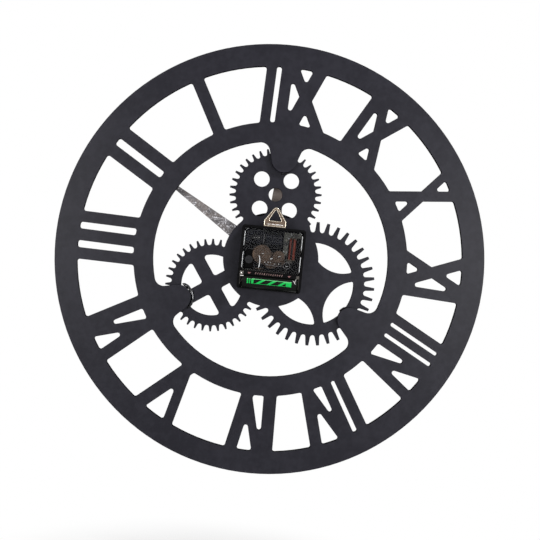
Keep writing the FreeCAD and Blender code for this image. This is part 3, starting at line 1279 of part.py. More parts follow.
def hand_outline(kind):
    """A drawing function for a lance-shaped hand that points to twelve."""
    def draw(sketch):
        neck = size("hand_neck") / 2
        wide = size(kind + "_hand_width") / 2
        tip = size(kind + "_hand_tip") / 2
        broad = size("hand_broadest")
        reach = size(kind + "_hand_length") - tip
        tail = size(kind + "_hand_tail") - neck
        outline_in(sketch, (
            (Vector(-neck, -tail, 0), Vector(0, -tail - neck, 0), Vector(neck, -tail, 0)),
            (Vector(neck, -tail, 0), Vector(neck, size("hand_boss"), 0)),
            (Vector(neck, size("hand_boss"), 0), Vector(wide, broad, 0)),
            (Vector(wide, broad, 0), Vector(tip, reach, 0)),
            (Vector(tip, reach, 0), Vector(0, reach + tip, 0), Vector(-tip, reach, 0)),
            (Vector(-tip, reach, 0), Vector(-wide, broad, 0)),
            (Vector(-wide, broad, 0), Vector(-neck, size("hand_boss"), 0)),
            (Vector(-neck, size("hand_boss"), 0), Vector(-neck, -tail, 0)),
        ))
    return draw


def hand(kind, depth):
    """A sheet-metal hand: the blade and its round boss."""
    item = body(kind + "_hand", depth=depth, turn=kind + "_hand_direction")
    pad(item, kind + "_blade", hand_outline(kind), "hand_sheet")
    pad(item, kind + "_boss", lambda sketch: circle_in(sketch, "hand_boss"), "hand_sheet")
    return item


hour_hand = hand("hour", "hour_hand_depth")
pad(hour_hand, "hour_collet", lambda sketch: circle_in(sketch, "collet_radius"), "collet_length",
    "hand_sheet / 2")
pocket(hour_hand, "hour_hand_bore", lambda sketch: circle_in(sketch, "pipe_radius"),
       "collet_length + hand_sheet", "0")
label(hour_hand, "hour_hand")
minute_hand = hand("minute", "shoulder_end")
pocket(minute_hand, "minute_hand_bore", lambda sketch: circle_in(sketch, "stud_radius"), "hand_sheet", "0")
label(minute_hand, "minute_hand")

NUT_REAR = "shoulder_end + hand_sheet"
hand_nut = body("hand_nut", depth=NUT_REAR)
round_rod(hand_nut, "hand_nut_round", "hand_nut_radius", "0", "hand_nut_length")
pocket(hand_nut, "hand_nut_bore", lambda sketch: circle_in(sketch, "stud_radius"),
       f"stud_end - ({NUT_REAR})", "0")
label(hand_nut, "hand_nut")


# Checks, then one file for each sub-part

doc.recompute()
for item in doc.Objects:
    failed = [state for state in item.State if state in ("Invalid", "Error")]
    if failed:
        raise RuntimeError(f"{item.Name} did not build: {failed}")
for item in SUBPARTS:
    if item.Shape.isNull() or not item.Shape.isValid() or not item.Shape.Solids:
        raise RuntimeError(f"{item.Label} has no valid solid")

os.makedirs("parts", exist_ok=True)
for item in SUBPARTS:
    item.Shape.exportStep(f"parts/{item.Label}.step")
    print(f"{item.Label}: {len(item.Shape.Solids)} solid, {item.Shape.Volume:.1f} mm3")
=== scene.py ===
"""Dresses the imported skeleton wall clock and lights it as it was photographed, from the back."""

import json
import logging
import math
import random
from dataclasses import dataclass
from enum import Enum
from typing import Callable, Sequence

import bmesh
import bpy
from mathutils import Matrix, Vector


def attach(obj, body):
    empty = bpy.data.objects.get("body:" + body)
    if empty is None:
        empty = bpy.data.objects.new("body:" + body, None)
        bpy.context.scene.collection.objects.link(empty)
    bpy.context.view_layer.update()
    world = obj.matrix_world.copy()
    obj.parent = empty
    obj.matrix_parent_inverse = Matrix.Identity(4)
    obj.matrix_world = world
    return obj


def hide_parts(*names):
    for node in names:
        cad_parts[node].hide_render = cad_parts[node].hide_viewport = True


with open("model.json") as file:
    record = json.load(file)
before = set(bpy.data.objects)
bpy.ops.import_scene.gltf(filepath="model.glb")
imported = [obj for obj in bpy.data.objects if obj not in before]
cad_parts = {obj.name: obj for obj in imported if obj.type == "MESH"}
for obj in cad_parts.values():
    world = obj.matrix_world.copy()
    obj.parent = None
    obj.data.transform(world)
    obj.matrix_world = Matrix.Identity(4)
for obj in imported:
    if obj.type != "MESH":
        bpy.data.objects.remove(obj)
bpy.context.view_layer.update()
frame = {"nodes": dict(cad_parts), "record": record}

LOG = logging.getLogger("clock")
MM = 0.001
FULL_TURN = 2.0 * math.pi
TOWARDS_WALL = Vector((0.0, 1.0, 0.0))
SEEN_RAYS = ("Is Camera Ray", "Is Glossy Ray", "Is Transmission Ray")
CELL_DROP = 19.9
CELL_DEPTH = 7.5
COIL_PITCH = 0.39


class Body(Enum):
    """The bodies that the added pieces ride on."""

    CLOCK = "clock"
    MINUTE_HAND = "minute_hand"
    BATTERY = "battery"


class Slot(Enum):
    """The record's material slots."""

    BOARD = "black_board"
    GLUE = "glue"
    RUBBER = "rubber"
    BRASS = "brass"
    CASE = "black_plastic"
    COVER = "smoked_cover"
    WHEELS = "tan_plastic"
    SPRING = "spring_steel"
    KNOB = "knob_plastic"
    NICKEL = "nickel"
    WIRE = "copper_wire"
    LAMINATE = "board"
    RESIN = "chip_resin"
    JACKET = "cell_jacket"
    HANGER = "hanger_metal"
    HANDS = "hand_metal"


def place(x: float, depth: float, z: float) -> Vector:
    """Gives a place in the row frame.

    Args:
        x: Millimetres to the right, seen from the front.
        depth: Millimetres in front of the wall.
        z: Millimetres up from the arbor.

    Returns:
        The place in metres.
    """
    return Vector((x * MM, -depth * MM, z * MM))


class Term:
    """A node's output, with Python's operators turned into Math nodes."""

    def __init__(self, tree: "Tree", socket: bpy.types.NodeSocket) -> None:
        """Keeps the node tree and the output's socket."""
        self.tree = tree
        self.socket = socket

    def math(self, operation: str, other: "Term | float | None" = None, swapped: bool = False) -> "Term":
        """Adds one Math node.

        Args:
            operation: The node's operation.
            other: The second value, if the operation takes one.
            swapped: Whether the second value comes first.

        Returns:
            The node's output.
        """
        parts = [self] if other is None else [self, other]
        if swapped:
            parts.reverse()
        node = self.tree.add("ShaderNodeMath", {"operation": operation}, dict(enumerate(parts)))
        return self.tree.out(node)

    def __add__(self, other: "Term | float") -> "Term":
        """Adds."""
        return self.math("ADD", other)

    def __radd__(self, other: float) -> "Term":
        """Adds, reflected."""
        return self.math("ADD", other)

    def __sub__(self, other: "Term | float") -> "Term":
        """Subtracts."""
        return self.math("SUBTRACT", other)

    def __rsub__(self, other: float) -> "Term":
        """Subtracts, reflected."""
        return self.math("SUBTRACT", other, swapped=True)

    def __mul__(self, other: "Term | float") -> "Term":
        """Multiplies."""
        return self.math("MULTIPLY", other)

    def __rmul__(self, other: float) -> "Term":
        """Multiplies, reflected."""
        return self.math("MULTIPLY", other)

    def __gt__(self, other: "Term | float") -> "Term":
        """Gives one where the value is greater."""
        return self.math("GREATER_THAN", other)

    def __lt__(self, other: "Term | float") -> "Term":
        """Gives one where the value is less."""
        return self.math("LESS_THAN", other)

    def __abs__(self) -> "Term":
        """Takes the absolute value."""
        return self.math("ABSOLUTE")

    def fraction(self) -> "Term":
        """Takes the part after the point."""
        return self.math("FRACT")

    def sine(self) -> "Term":
        """Takes the sine."""
        return self.math("SINE")

    def root(self) -> "Term":
        """Takes the square root."""
        return self.math("SQRT")

    def ramp(self, low: float, high: float) -> "Term":
        """Rises smoothly from 0 at low to 1 at high.

        Args:
            low: Where the rise starts.
            high: Where it ends.

        Returns:
            The risen value.
        """
        settings = {"interpolation_type": "SMOOTHSTEP"}
        return self.tree.out(self.tree.add("ShaderNodeMapRange", settings, {0: self, 1: low, 2: high}))


class Tree:
    """The node tree of one material, or of the world."""

    def __init__(self, name: str, world: bpy.types.World | None = None) -> None:
        """Makes an empty tree.

        Args:
            name: The name of the material that is made for it.
            world: The world whose tree it is instead, if there is one.
        """
        self.owner = world or bpy.data.materials.new(name)
        self.owner.use_nodes = True
        self.graph = self.owner.node_tree
        self.graph.nodes.clear()

    def add(self, kind: str, settings: dict | None = None, sockets: dict | None = None) -> bpy.types.Node:
        """Adds a node.

        Args:
            kind: The node's type.
            settings: Its settings, which are set first.
            sockets: Values or links of its inputs, by name or number.

        Returns:
            The new node.
        """
        node = self.graph.nodes.new(kind)
        for name, value in (settings or {}).items():
            setattr(node, name, value)
        for key, value in (sockets or {}).items():
            self.feed(node.inputs[key], value)
        return node

    def feed(self, socket: bpy.types.NodeSocket, value: "Term | float | tuple") -> None:
        """Links a term to a socket, or writes a value on it.

        Args:
            socket: The input.
            value: The term, number, vector or colour that it gets.
        """
        if isinstance(value, Term):
            self.graph.links.new(value.socket, socket)
        elif socket.type == "RGBA":
            socket.default_value = (*value, 1.0)
        else:
            socket.default_value = value

    def out(self, node: bpy.types.Node, key: int | str = 0) -> Term:
        """Wraps one output of a node."""
        return Term(self, node.outputs[key])

    def where(self) -> Term:
        """Gives the place on the object, which is in metres in the row frame."""
        return self.out(self.add("ShaderNodeTexCoord"), "Object")

    def parts(self, vector: Term) -> tuple[Term, Term, Term]:
        """Splits a vector into its three numbers."""
        node = self.add("ShaderNodeSeparateXYZ", None, {0: vector})
        return self.out(node, 0), self.out(node, 1), self.out(node, 2)

    def flat_faces(self) -> Term:
        """Gives one on faces that look to the wall or the viewer, and zero on the walls between."""
        normal = self.out(self.add("ShaderNodeTexCoord"), "Normal")
        return abs(self.parts(normal)[1]).ramp(0.55, 0.75)

    def seen(self) -> Term:
        """Tells the rays of the camera, of gloss and through clear pieces from all others.

        Returns:
            One on those rays, and zero on the others.
        """
        rays = self.add("ShaderNodeLightPath")
        seen = self.out(rays, SEEN_RAYS[0])
        for name in SEEN_RAYS[1:]:
            seen = seen.math("MAXIMUM", self.out(rays, name))
        return seen

    def noise(self, size: float, detail: float = 3.0, stretch: tuple = (1.0, 1.0, 1.0),
              turn: float = 0.0) -> Term:
        """Adds noise.

        Args:
            size: The size of its largest spots in millimetres.
            detail: Its octaves.
            stretch: How much the pattern is squeezed along each axis.
            turn: Degrees that the pattern is turned about the arbor's direction.

        Returns:
            Noise from 0 to 1.
        """
        spin = {"Vector": self.where(), "Rotation": (0.0, math.radians(turn), 0.0), "Scale": stretch}
        mapped = self.out(self.add("ShaderNodeMapping", None, spin))
        values = {"Vector": mapped, "Scale": 1.0 / (size * MM), "Detail": detail}
        return self.out(self.add("ShaderNodeTexNoise", None, values))

    def mix(self, share: "Term | float", first: "Term | tuple", second: "Term | tuple") -> Term:
        """Mixes two colours.

        Args:
            share: How much of the second shows.
            first: The colour at share 0.
            second: The colour at share 1.

        Returns:
            The mixed colour.
        """
        node = self.add("ShaderNodeMix", {"data_type": "RGBA"}, {0: share, 6: first, 7: second})
        return self.out(node, 2)

    def bump(self, height: Term, depth: float, strength: float = 1.0) -> Term:
        """Adds a bump.

        Args:
            height: The height from 0 to 1.
            depth: Millimetres that height 1 stands for.
            strength: How much of it shows.

        Returns:
            The bumped normal.
        """
        values = {"Height": height, "Distance": depth * MM, "Strength": strength}
        return self.out(self.add("ShaderNodeBump", None, values))

    def finish(self, sockets: dict) -> bpy.types.Material:
        """Adds the shader and the output.

        Args:
            sockets: Values or links of the Principled shader's inputs.

        Returns:
            The material.
        """
        shader = self.out(self.add("ShaderNodeBsdfPrincipled", None, sockets))
        self.add("ShaderNodeOutputMaterial", None, {"Surface": shader})
        return self.owner


@dataclass(frozen=True)
class PaintedBoard:
    """Fibreboard sprayed satin black, with matt, darker cut edges.

    Its faces carry a thin coat and pale specks. The face at the given depth is painted as dark as the edges:
    painted shade, for a face that little light reaches.
    """

    name: str = Slot.BOARD.value
    slot: Slot = Slot.BOARD
    deep: tuple = (0.0115, 0.0110, 0.0160)
    worn: tuple = (0.0180, 0.0175, 0.0240)
    edge: tuple = (0.005, 0.005, 0.006)
    speck: tuple = (0.05, 0.05, 0.058)
    painted_shade_depth: float = 0.0
    painted_shade_reach: float = 0.3

    def build(self) -> bpy.types.Material:
        """Makes the material.

        Returns:
            The material.
        """
        tree = Tree(self.name)
        _x, y, _z = tree.parts(tree.where())
        # Painted shade: faces at the given depth lose the coat and take the dark colour of the edges.
        flat = tree.flat_faces() * (abs(y + self.painted_shade_depth * MM) > self.painted_shade_reach * MM)
        cloud = tree.noise(28.0, 3.0)
        mottle = tree.noise(5.0, 4.0)
        grain = tree.noise(0.7, 3.0)
        face = tree.mix((cloud * 0.5 + mottle * 0.5).ramp(0.35, 0.65), self.deep, self.worn)
        face = tree.mix((grain - 0.68).ramp(0.0, 0.06) * 0.35, face, self.speck)
        return tree.finish({
            "Base Color": tree.mix(flat, self.edge, face),
            "Roughness": 0.86 - flat * 0.30 + mottle * 0.10,
            "Specular IOR Level": 0.0,
            "Coat Weight": flat * 0.25,
            "Coat Roughness": 0.34,
            "Normal": tree.bump(grain * 0.7 + mottle * 0.3, 0.05, 0.55),
        })


@dataclass(frozen=True)
class HotGlue:
    """Black hot glue: glossy, with slow waves."""

    slot: Slot = Slot.GLUE
    deep: tuple = (0.006, 0.006, 0.007)
    thin: tuple = (0.010, 0.010, 0.012)

    def build(self) -> bpy.types.Material:
        """Makes the material.

        Returns:
            The material.
        """
        tree = Tree(self.slot.value)
        waves = tree.noise(2.2, 2.0)
        return tree.finish({
            "Base Color": tree.mix(waves, self.deep, self.thin),
            "Roughness": 0.05 + waves * 0.10,
            "Specular IOR Level": 0.22,
            "Normal": tree.bump(waves, 0.35, 0.5),
        })


@dataclass(frozen=True)
class Moulding:
    """Moulded plastic, resin or rubber, with a fine grain and soft changes of tone."""

    slot: Slot
    dark: tuple
    pale: tuple
    rough: float
    grain: float = 0.35
    depth: float = 0.02
    shine: float = 0.5

    def build(self) -> bpy.types.Material:
        """Makes the material.

        Returns:
            The material.
        """
        tree = Tree(self.slot.value)
        flow = tree.noise(6.0, 3.0)
        grain = tree.noise(self.grain, 3.0)
        return tree.finish({
            "Base Color": tree.mix(flow.ramp(0.3, 0.7), self.dark, self.pale),
            "Roughness": self.rough + grain * 0.12 + flow * 0.06,
            "Specular IOR Level": self.shine,
            "Normal": tree.bump(grain * 0.6 + flow * 0.4, self.depth, 0.5),
        })


@dataclass(frozen=True)
class ClearCover:
    """Thin smoked styrene: it shows what is behind it and mirrors the lamps."""

    slot: Slot = Slot.COVER
    smoke: tuple = (0.004, 0.0045, 0.006)
    haze: tuple = (0.012, 0.013, 0.016)
    clearness: float = 0.86
    index: float = 1.55

    def build(self) -> bpy.types.Material:
        """Makes the material.

        Returns:
            The material.
        """
        tree = Tree(self.slot.value)
        rim = tree.out(tree.add("ShaderNodeFresnel", None, {"IOR": self.index}))
        film = tree.noise(9.0, 2.0)
        walls = 1.0 - tree.flat_faces()
        veil = (1.0 - self.clearness) + rim * 0.35 + film * 0.04 + walls * 0.05
        return tree.finish({
            "Base Color": tree.mix(film, self.smoke, self.haze),
            "Roughness": 0.06 + film * 0.08,
            "Alpha": veil,
            "IOR": self.index,
            "Specular IOR Level": 0.4,
            "Normal": tree.bump(film, 0.08, 0.4),
        })


@dataclass(frozen=True)
class Metal:
    """A pressed, drawn or turned metal with its lines along one direction."""

    slot: Slot
    bright: tuple
    dull: tuple
    rough: float
    lines: tuple
    spots: float = 3.0

    def build(self) -> bpy.types.Material:
        """Makes the material.

        Returns:
            The material.
        """
        tree = Tree(self.slot.value)
        stain = tree.noise(self.spots, 4.0)
        lines = tree.noise(0.6, 3.0, self.lines)
        tarnish = (stain * 0.7 + lines * 0.3).ramp(0.35, 0.65)
        return tree.finish({
            "Base Color": tree.mix(tarnish, self.bright, self.dull),
            "Metallic": 1.0,
            "Roughness": self.rough + stain * 0.14 + lines * 0.08,
            "Normal": tree.bump(lines, 0.02, 0.5),
        })


@dataclass(frozen=True)
class PlatedSteel:
    """Nickel-plated steel: its own bright colour shows only in patches on the tab beside the cell's flat end;
    everywhere else it is painted nearly black as painted shade.
    """

    slot: Slot = Slot.NICKEL
    bright: tuple = (0.70, 0.66, 0.60)
    dull: tuple = (0.06, 0.057, 0.052)
    stained: tuple = (0.10, 0.09, 0.08)
    tab_low: float = -17.3
    tab_high: float = -12.4
    tab_depth: float = 2.0

    def build(self) -> bpy.types.Material:
        """Makes the material.

        Returns:
            The material.
        """
        tree = Tree(self.slot.value)
        x, y, z = tree.parts(tree.where())
        tabs = (z > self.tab_low * MM) * (z < self.tab_high * MM) * (y > -self.tab_depth * MM)
        stain = tree.noise(2.4, 4.0)
        lines = tree.noise(0.6, 3.0, (0.2, 1.0, 1.0))
        # Painted shade: outside the tab, and between the patches on it, the nickel takes the near-black dull
        # colour.
        worn = tree.noise(1.3, 2.0).ramp(0.46, 0.56)
        shade = tree.mix(tabs * worn * (x > 0.0), self.dull, self.bright)
        tarnish = (stain * 0.7 + lines * 0.3).ramp(0.35, 0.65) * 0.4
        return tree.finish({
            "Base Color": tree.mix(tarnish, shade, self.stained),
            "Metallic": 1.0,
            "Roughness": 0.18 + stain * 0.14 + lines * 0.08,
            "Normal": tree.bump(lines, 0.02, 0.5),
        })


@dataclass(frozen=True)
class CasePlastic:
    """The movement's near-black glossy plastic, a little paler on the panels sunk behind the cover."""

    slot: Slot = Slot.CASE
    dark: tuple = (0.0016, 0.0016, 0.0018)
    pale: tuple = (0.0036, 0.0036, 0.004)
    panel: tuple = (0.0115, 0.012, 0.0165)
    panel_depth: float = 4.4

    def build(self) -> bpy.types.Material:
        """Makes the material.

        Returns:
            The material.
        """
        tree = Tree(self.slot.value)
        _x, y, _z = tree.parts(tree.where())
        sunk = 1.0 - abs(y + self.panel_depth * MM).ramp(0.3 * MM, 0.5 * MM)
        flow = tree.noise(6.0, 3.0)
        grain = tree.noise(0.3, 3.0)
        skin = tree.mix(flow.ramp(0.3, 0.7), self.dark, self.pale)
        return tree.finish({
            "Base Color": tree.mix(sunk, skin, self.panel),
            "Roughness": 0.16 + grain * 0.12 + flow * 0.06 + sunk * 0.1,
            "Specular IOR Level": 0.05,
            "Normal": tree.bump(grain * 0.6 + flow * 0.4, 0.015, 0.5),
        })


@dataclass(frozen=True)
class ScratchedSheet:
    """Bare aluminium hands: dull grey, mottled brown in places, scratched many ways.

    A sheet that is smooth shows fewer scratches and a browner tone on its back.
    """

    name: str = Slot.HANDS.value
    slot: Slot = Slot.HANDS
    bright: tuple = (0.160, 0.153, 0.158)
    dull: tuple = (0.072, 0.068, 0.071)
    brown: tuple = (0.115, 0.098, 0.090)
    scratch: tuple = (0.58, 0.57, 0.60)
    rear: tuple = (0.155, 0.128, 0.115)
    smooth: float = 0.0

    def build(self) -> bpy.types.Material:
        """Makes the material.

        Returns:
            The material.
        """
        tree = Tree(self.name)
        cloud = tree.noise(7.0, 5.0)
        mottle = tree.noise(1.1, 4.0)
        brushed = tree.noise(0.5, 3.0, (1.0, 1.0, 0.05), 59.0)
        crossed = tree.noise(0.8, 2.0, (0.06, 1.0, 1.0), 20.0)
        sheet = tree.mix((cloud * 0.5 + mottle * 0.5).ramp(0.38, 0.62), self.dull, self.bright)
        sheet = tree.mix((tree.noise(9.0, 2.0) - 0.44).ramp(0.0, 0.2) * 0.7, sheet, self.brown)
        flecks = tree.noise(1.0, 4.0, (1.0, 1.0, 0.6), 25.0)
        patch = tree.noise(6.0, 2.0).ramp(0.42, 0.60)
        nick = (crossed - 0.62).ramp(0.0, 0.05) * 0.40
        nick = nick + (flecks - 0.55).ramp(0.0, 0.06) * patch * 0.70
        normal = tree.out(tree.add("ShaderNodeTexCoord"), "Normal")
        rear = tree.parts(normal)[1].ramp(0.3, 0.7) * self.smooth
        sheet = tree.mix(rear, sheet, self.rear)
        return tree.finish({
            "Base Color": tree.mix(nick * (1.0 - rear), sheet, self.scratch),
            "Metallic": 1.0,
            "Roughness": 0.34 + mottle * 0.26,
            "Normal": tree.bump(brushed * 0.6 + crossed * 0.4, 0.03, 0.6),
        })


@dataclass(frozen=True)
class EnamelledWire:
    """Red-brown enamelled wire, with a dark stripe down its middle on the half that faces the wall."""

    slot: Slot = Slot.WIRE
    red: tuple = (0.36, 0.08, 0.05)
    deep: tuple = (0.19, 0.038, 0.024)
    middle_stripe: tuple = (0.012, 0.008, 0.007)
    axis: float = -17.2
    middle_depth: float = 7.5
    pitch: float = COIL_PITCH
    stripe_half: float = 0.9
    stripe_fade: float = 0.25

    def build(self) -> bpy.types.Material:
        """Makes the material.

        Returns:
            The material.
        """
        tree = Tree(self.slot.value)
        x, y, z = tree.parts(tree.where())
        turns = (z * (FULL_TURN / (self.pitch * MM))).sine() * 0.5 + 0.5
        tone = tree.noise(2.5, 3.0)
        off = abs(x - self.axis * MM)
        # A dark stripe along the coil's axis, on the half that faces the wall.
        middle_stripe = 1.0 - off.ramp(self.stripe_half * MM, (self.stripe_half + self.stripe_fade) * MM)
        middle_stripe = middle_stripe * (y > -self.middle_depth * MM)
        wire = tree.mix(turns * 0.5 + tone * 0.5, self.deep, self.red)
        return tree.finish({
            "Base Color": tree.mix(middle_stripe, wire, self.middle_stripe),
            "Roughness": 0.34 + tone * 0.15,
            "Specular IOR Level": 0.12,
            "Normal": tree.bump(turns, 0.06, 0.4),
        })


@dataclass(frozen=True)
class PrintedJacket:
    """The cell's glossy jacket: a bright green label with plain slanted bars and a painted highlight along
    its upper edge, black ends and steel caps.
    """

    slot: Slot = Slot.JACKET
    green: tuple = (0.008, 0.43, 0.075)
    # The pale green is the colour of the painted highlight.
    pale: tuple = (0.34, 0.62, 0.40)
    black: tuple = (0.003, 0.0035, 0.003)
    dust: tuple = (0.05, 0.09, 0.05)
    steel: tuple = (0.60, 0.59, 0.56)
    label_wide: tuple = ((-19.6, 15.6), (16.5, 17.4), (18.2, 19.4))
    label_tall: tuple = (-2.85, 1.55)
    bars_wide: tuple = (-14.8, 13.6)
    bars_tall: tuple = (-2.60, 1.05)
    bar_pitch: float = 9.6
    bar_slant: float = 1.5
    bar_start: float = 0.18
    bar_share: float = 0.66
    cap_radius: float = 6.35

    def band(self, place_on: Term, limits: tuple[float, float]) -> Term:
        """Gives one between two limits in millimetres, and zero elsewhere."""
        return (place_on > limits[0] * MM) * (place_on < limits[1] * MM)

    def printed(self, tree: Tree, x: Term, across: Term, front: Term) -> Term:
        """Mixes the label's colours.

        Args:
            tree: The material's nodes.
            x: The place along the cell.
            across: The height from the cell's axis.
            front: One on the half of the jacket that looks to the wall.

        Returns:
            The colour of the printed jacket.
        """
        first, second, third = (self.band(x, limits) for limits in self.label_wide)
        label = (first + second + third) * self.band(across, self.label_tall) * front
        pitch = self.bar_pitch * MM
        slanted = (x * (1.0 / pitch) + across * (self.bar_slant / pitch) + self.bar_start).fraction()
        bars = (slanted < self.bar_share) * self.band(x, self.bars_wide) * self.band(across, self.bars_tall)
        # Painted highlight: the green pales towards the label's upper edge.
        sheen = (across - 0.3 * MM).ramp(0.0, 1.3 * MM) * 0.45
        colour = tree.mix(label, self.black, tree.mix(sheen, self.green, self.pale))
        return tree.mix(bars, colour, self.black)

    def build(self) -> bpy.types.Material:
        """Makes the material.

        Returns:
            The material.
        """
        tree = Tree(self.slot.value)
        x, y, z = tree.parts(tree.where())
        across = z + CELL_DROP * MM
        off = y + CELL_DEPTH * MM
        radius = (across * across + off * off).root()
        ink = tree.noise(0.5, 2.0)
        colour = self.printed(tree, x, across, y > -CELL_DEPTH * MM)
        colour = tree.mix(ink.ramp(0.2, 0.9) * 0.04, colour, self.dust)
        bare = 1.0 - radius.ramp(self.cap_radius * MM, (self.cap_radius + 0.1) * MM)
        return tree.finish({
            "Base Color": tree.mix(bare, colour, self.steel),
            "Metallic": bare,
            "Roughness": 0.24 + ink * 0.10,
            "Specular IOR Level": 0.06,
            "Coat Weight": 0.06 - bare * 0.06,
            "Coat Roughness": 0.08,
            "Normal": tree.bump(ink, 0.01, 0.3),
        })


@dataclass(frozen=True)
class Laminate:
    """The circuit board: dull green lacquer over copper tracks."""

    slot: Slot = Slot.LAMINATE
    lacquer: tuple = (0.048, 0.050, 0.040)
    track: tuple = (0.095, 0.092, 0.074)

    def build(self) -> bpy.types.Material:
        """Makes the material.

        Returns:
            The material.
        """
        tree = Tree(self.slot.value)
        weave = tree.noise(0.6, 3.0)
        cloth = tree.noise(4.0, 3.0)
        return tree.finish({
            "Base Color": tree.mix(cloth.ramp(0.42, 0.55), self.lacquer, self.track),
            "Roughness": 0.34 + weave * 0.2,
            "Normal": tree.bump(weave, 0.03, 0.5),
        })


@dataclass(frozen=True)
class PaintedGlintMetal:
    """Bright metal in patches on a rim, a fold or a lip, as a painted highlight that stands in for its
    glints.
    """

    name: str
    bright: tuple
    dull: tuple
    rough: float = 0.14

    def build(self) -> bpy.types.Material:
        """Makes the material.

        Returns:
            The material.
        """
        tree = Tree(self.name)
        glint_patches = tree.noise(1.3, 4.0)
        return tree.finish({
            "Base Color": tree.mix(glint_patches.ramp(0.38, 0.62), self.bright, self.dull),
            "Metallic": 1.0,
            "Roughness": self.rough + glint_patches * 0.15,
            "Normal": tree.bump(glint_patches, 0.05, 0.5),
        })


@dataclass(frozen=True)
class GlintAndMarkTrim:
    """Small glossy pieces: pale bars, domes and threads that stand in for glints on the cover, the panels,
    the glue and the cell, as painted highlights; and printed marks in their own colours.
    """

    name: str
    colour: tuple
    shade: tuple
    rough: float = 0.2

    def build(self) -> bpy.types.Material:
        """Makes the material.

        Returns:
            The material.
        """
        tree = Tree(self.name)
        tone = tree.noise(1.4, 3.0)
        return tree.finish({
            "Base Color": tree.mix(tone.ramp(0.35, 0.65), self.colour, self.shade),
            "Roughness": self.rough + tone * 0.15,
            "Coat Weight": 0.4 + tone * 0.2,
            "Coat Roughness": 0.05,
            "Normal": tree.bump(tone, 0.03, 0.4),
        })


FINISHES = (
    PaintedBoard(),
    HotGlue(),
    CasePlastic(),
    ClearCover(),
    PlatedSteel(),
    EnamelledWire(),
    Laminate(),
    PrintedJacket(),
    ScratchedSheet(),
    Moulding(Slot.RUBBER, (0.010, 0.010, 0.010), (0.020, 0.020, 0.020), rough=0.72, grain=0.5, depth=0.03),
    Moulding(Slot.WHEELS, (0.088, 0.056, 0.038), (0.128, 0.084, 0.058), rough=0.36, grain=0.4, shine=0.2),
    Moulding(Slot.KNOB, (0.003, 0.003, 0.004), (0.008, 0.008, 0.010), rough=0.24, grain=0.3, shine=0.2),
    Moulding(Slot.RESIN, (0.006, 0.006, 0.006), (0.014, 0.014, 0.014), rough=0.12, grain=0.6, depth=0.03),
    Metal(Slot.BRASS, (0.66, 0.50, 0.22), (0.42, 0.30, 0.13), rough=0.22, lines=(1.0, 0.08, 1.0), spots=1.6),
    Metal(Slot.SPRING, (0.62, 0.62, 0.62), (0.42, 0.42, 0.43), rough=0.20, lines=(1.0, 0.2, 1.0), spots=2.0),
    Metal(Slot.HANGER, (0.13, 0.095, 0.07), (0.065, 0.045, 0.035), 0.30, lines=(1.0, 1.0, 0.3), spots=2.6),
)
# The clear edge, the pale and dim beads and the glue's thread are painted highlights: pale pieces that stand
# in for glints. The red and tick marks are print.
CLEAR_EDGE_GLINT = GlintAndMarkTrim("clear_edge_painted_glint", (0.72, 0.73, 0.75), (0.95, 0.95, 0.95), 0.08)
PALE_GLINT_BEAD = GlintAndMarkTrim("pale_bead_painted_glint", (0.34, 0.33, 0.32), (0.62, 0.60, 0.58), 0.12)
DIM_GLINT_BEAD = GlintAndMarkTrim("dim_bead_painted_glint", (0.16, 0.155, 0.165), (0.30, 0.29, 0.30), 0.15)
RED_MARK = GlintAndMarkTrim("red_mark", (0.13, 0.04, 0.042), (0.22, 0.08, 0.075), 0.35)
TICK_MARK = GlintAndMarkTrim("tick_mark", (0.12, 0.055, 0.05), (0.26, 0.15, 0.13), 0.35)
GLUE_THREAD_GLINT = GlintAndMarkTrim("glue_thread_painted_glint", (0.55, 0.55, 0.57), (0.85, 0.85, 0.88), 0.10)
# Both bright metals are painted highlights, for the glints on the hanger's rims, its fold and the contact's
# lip.
RIM_GLINT_METAL = PaintedGlintMetal("hanger_rim_painted_glint", (0.80, 0.74, 0.62), (0.42, 0.35, 0.27))
FOLD_GLINT_METAL = PaintedGlintMetal("hanger_fold_glint", (0.98, 0.96, 0.94), (0.30, 0.25, 0.22), 0.25)
# The centre disc's rear face, seen through the plate's holes, is painted dark as painted shade.
SHADED_DISC_BOARD = PaintedBoard("disc_board_painted_shade", painted_shade_depth=22.0)
SMOOTH_SHEET = ScratchedSheet("smooth_sheet", smooth=0.88)
TRIMS = (CLEAR_EDGE_GLINT, PALE_GLINT_BEAD, DIM_GLINT_BEAD, RED_MARK, TICK_MARK, GLUE_THREAD_GLINT, RIM_GLINT_METAL, FOLD_GLINT_METAL,
         SHADED_DISC_BOARD, SMOOTH_SHEET)
NODE_TRIMS = {"centre_disc": SHADED_DISC_BOARD.name, "hour_hand": SMOOTH_SHEET.name}


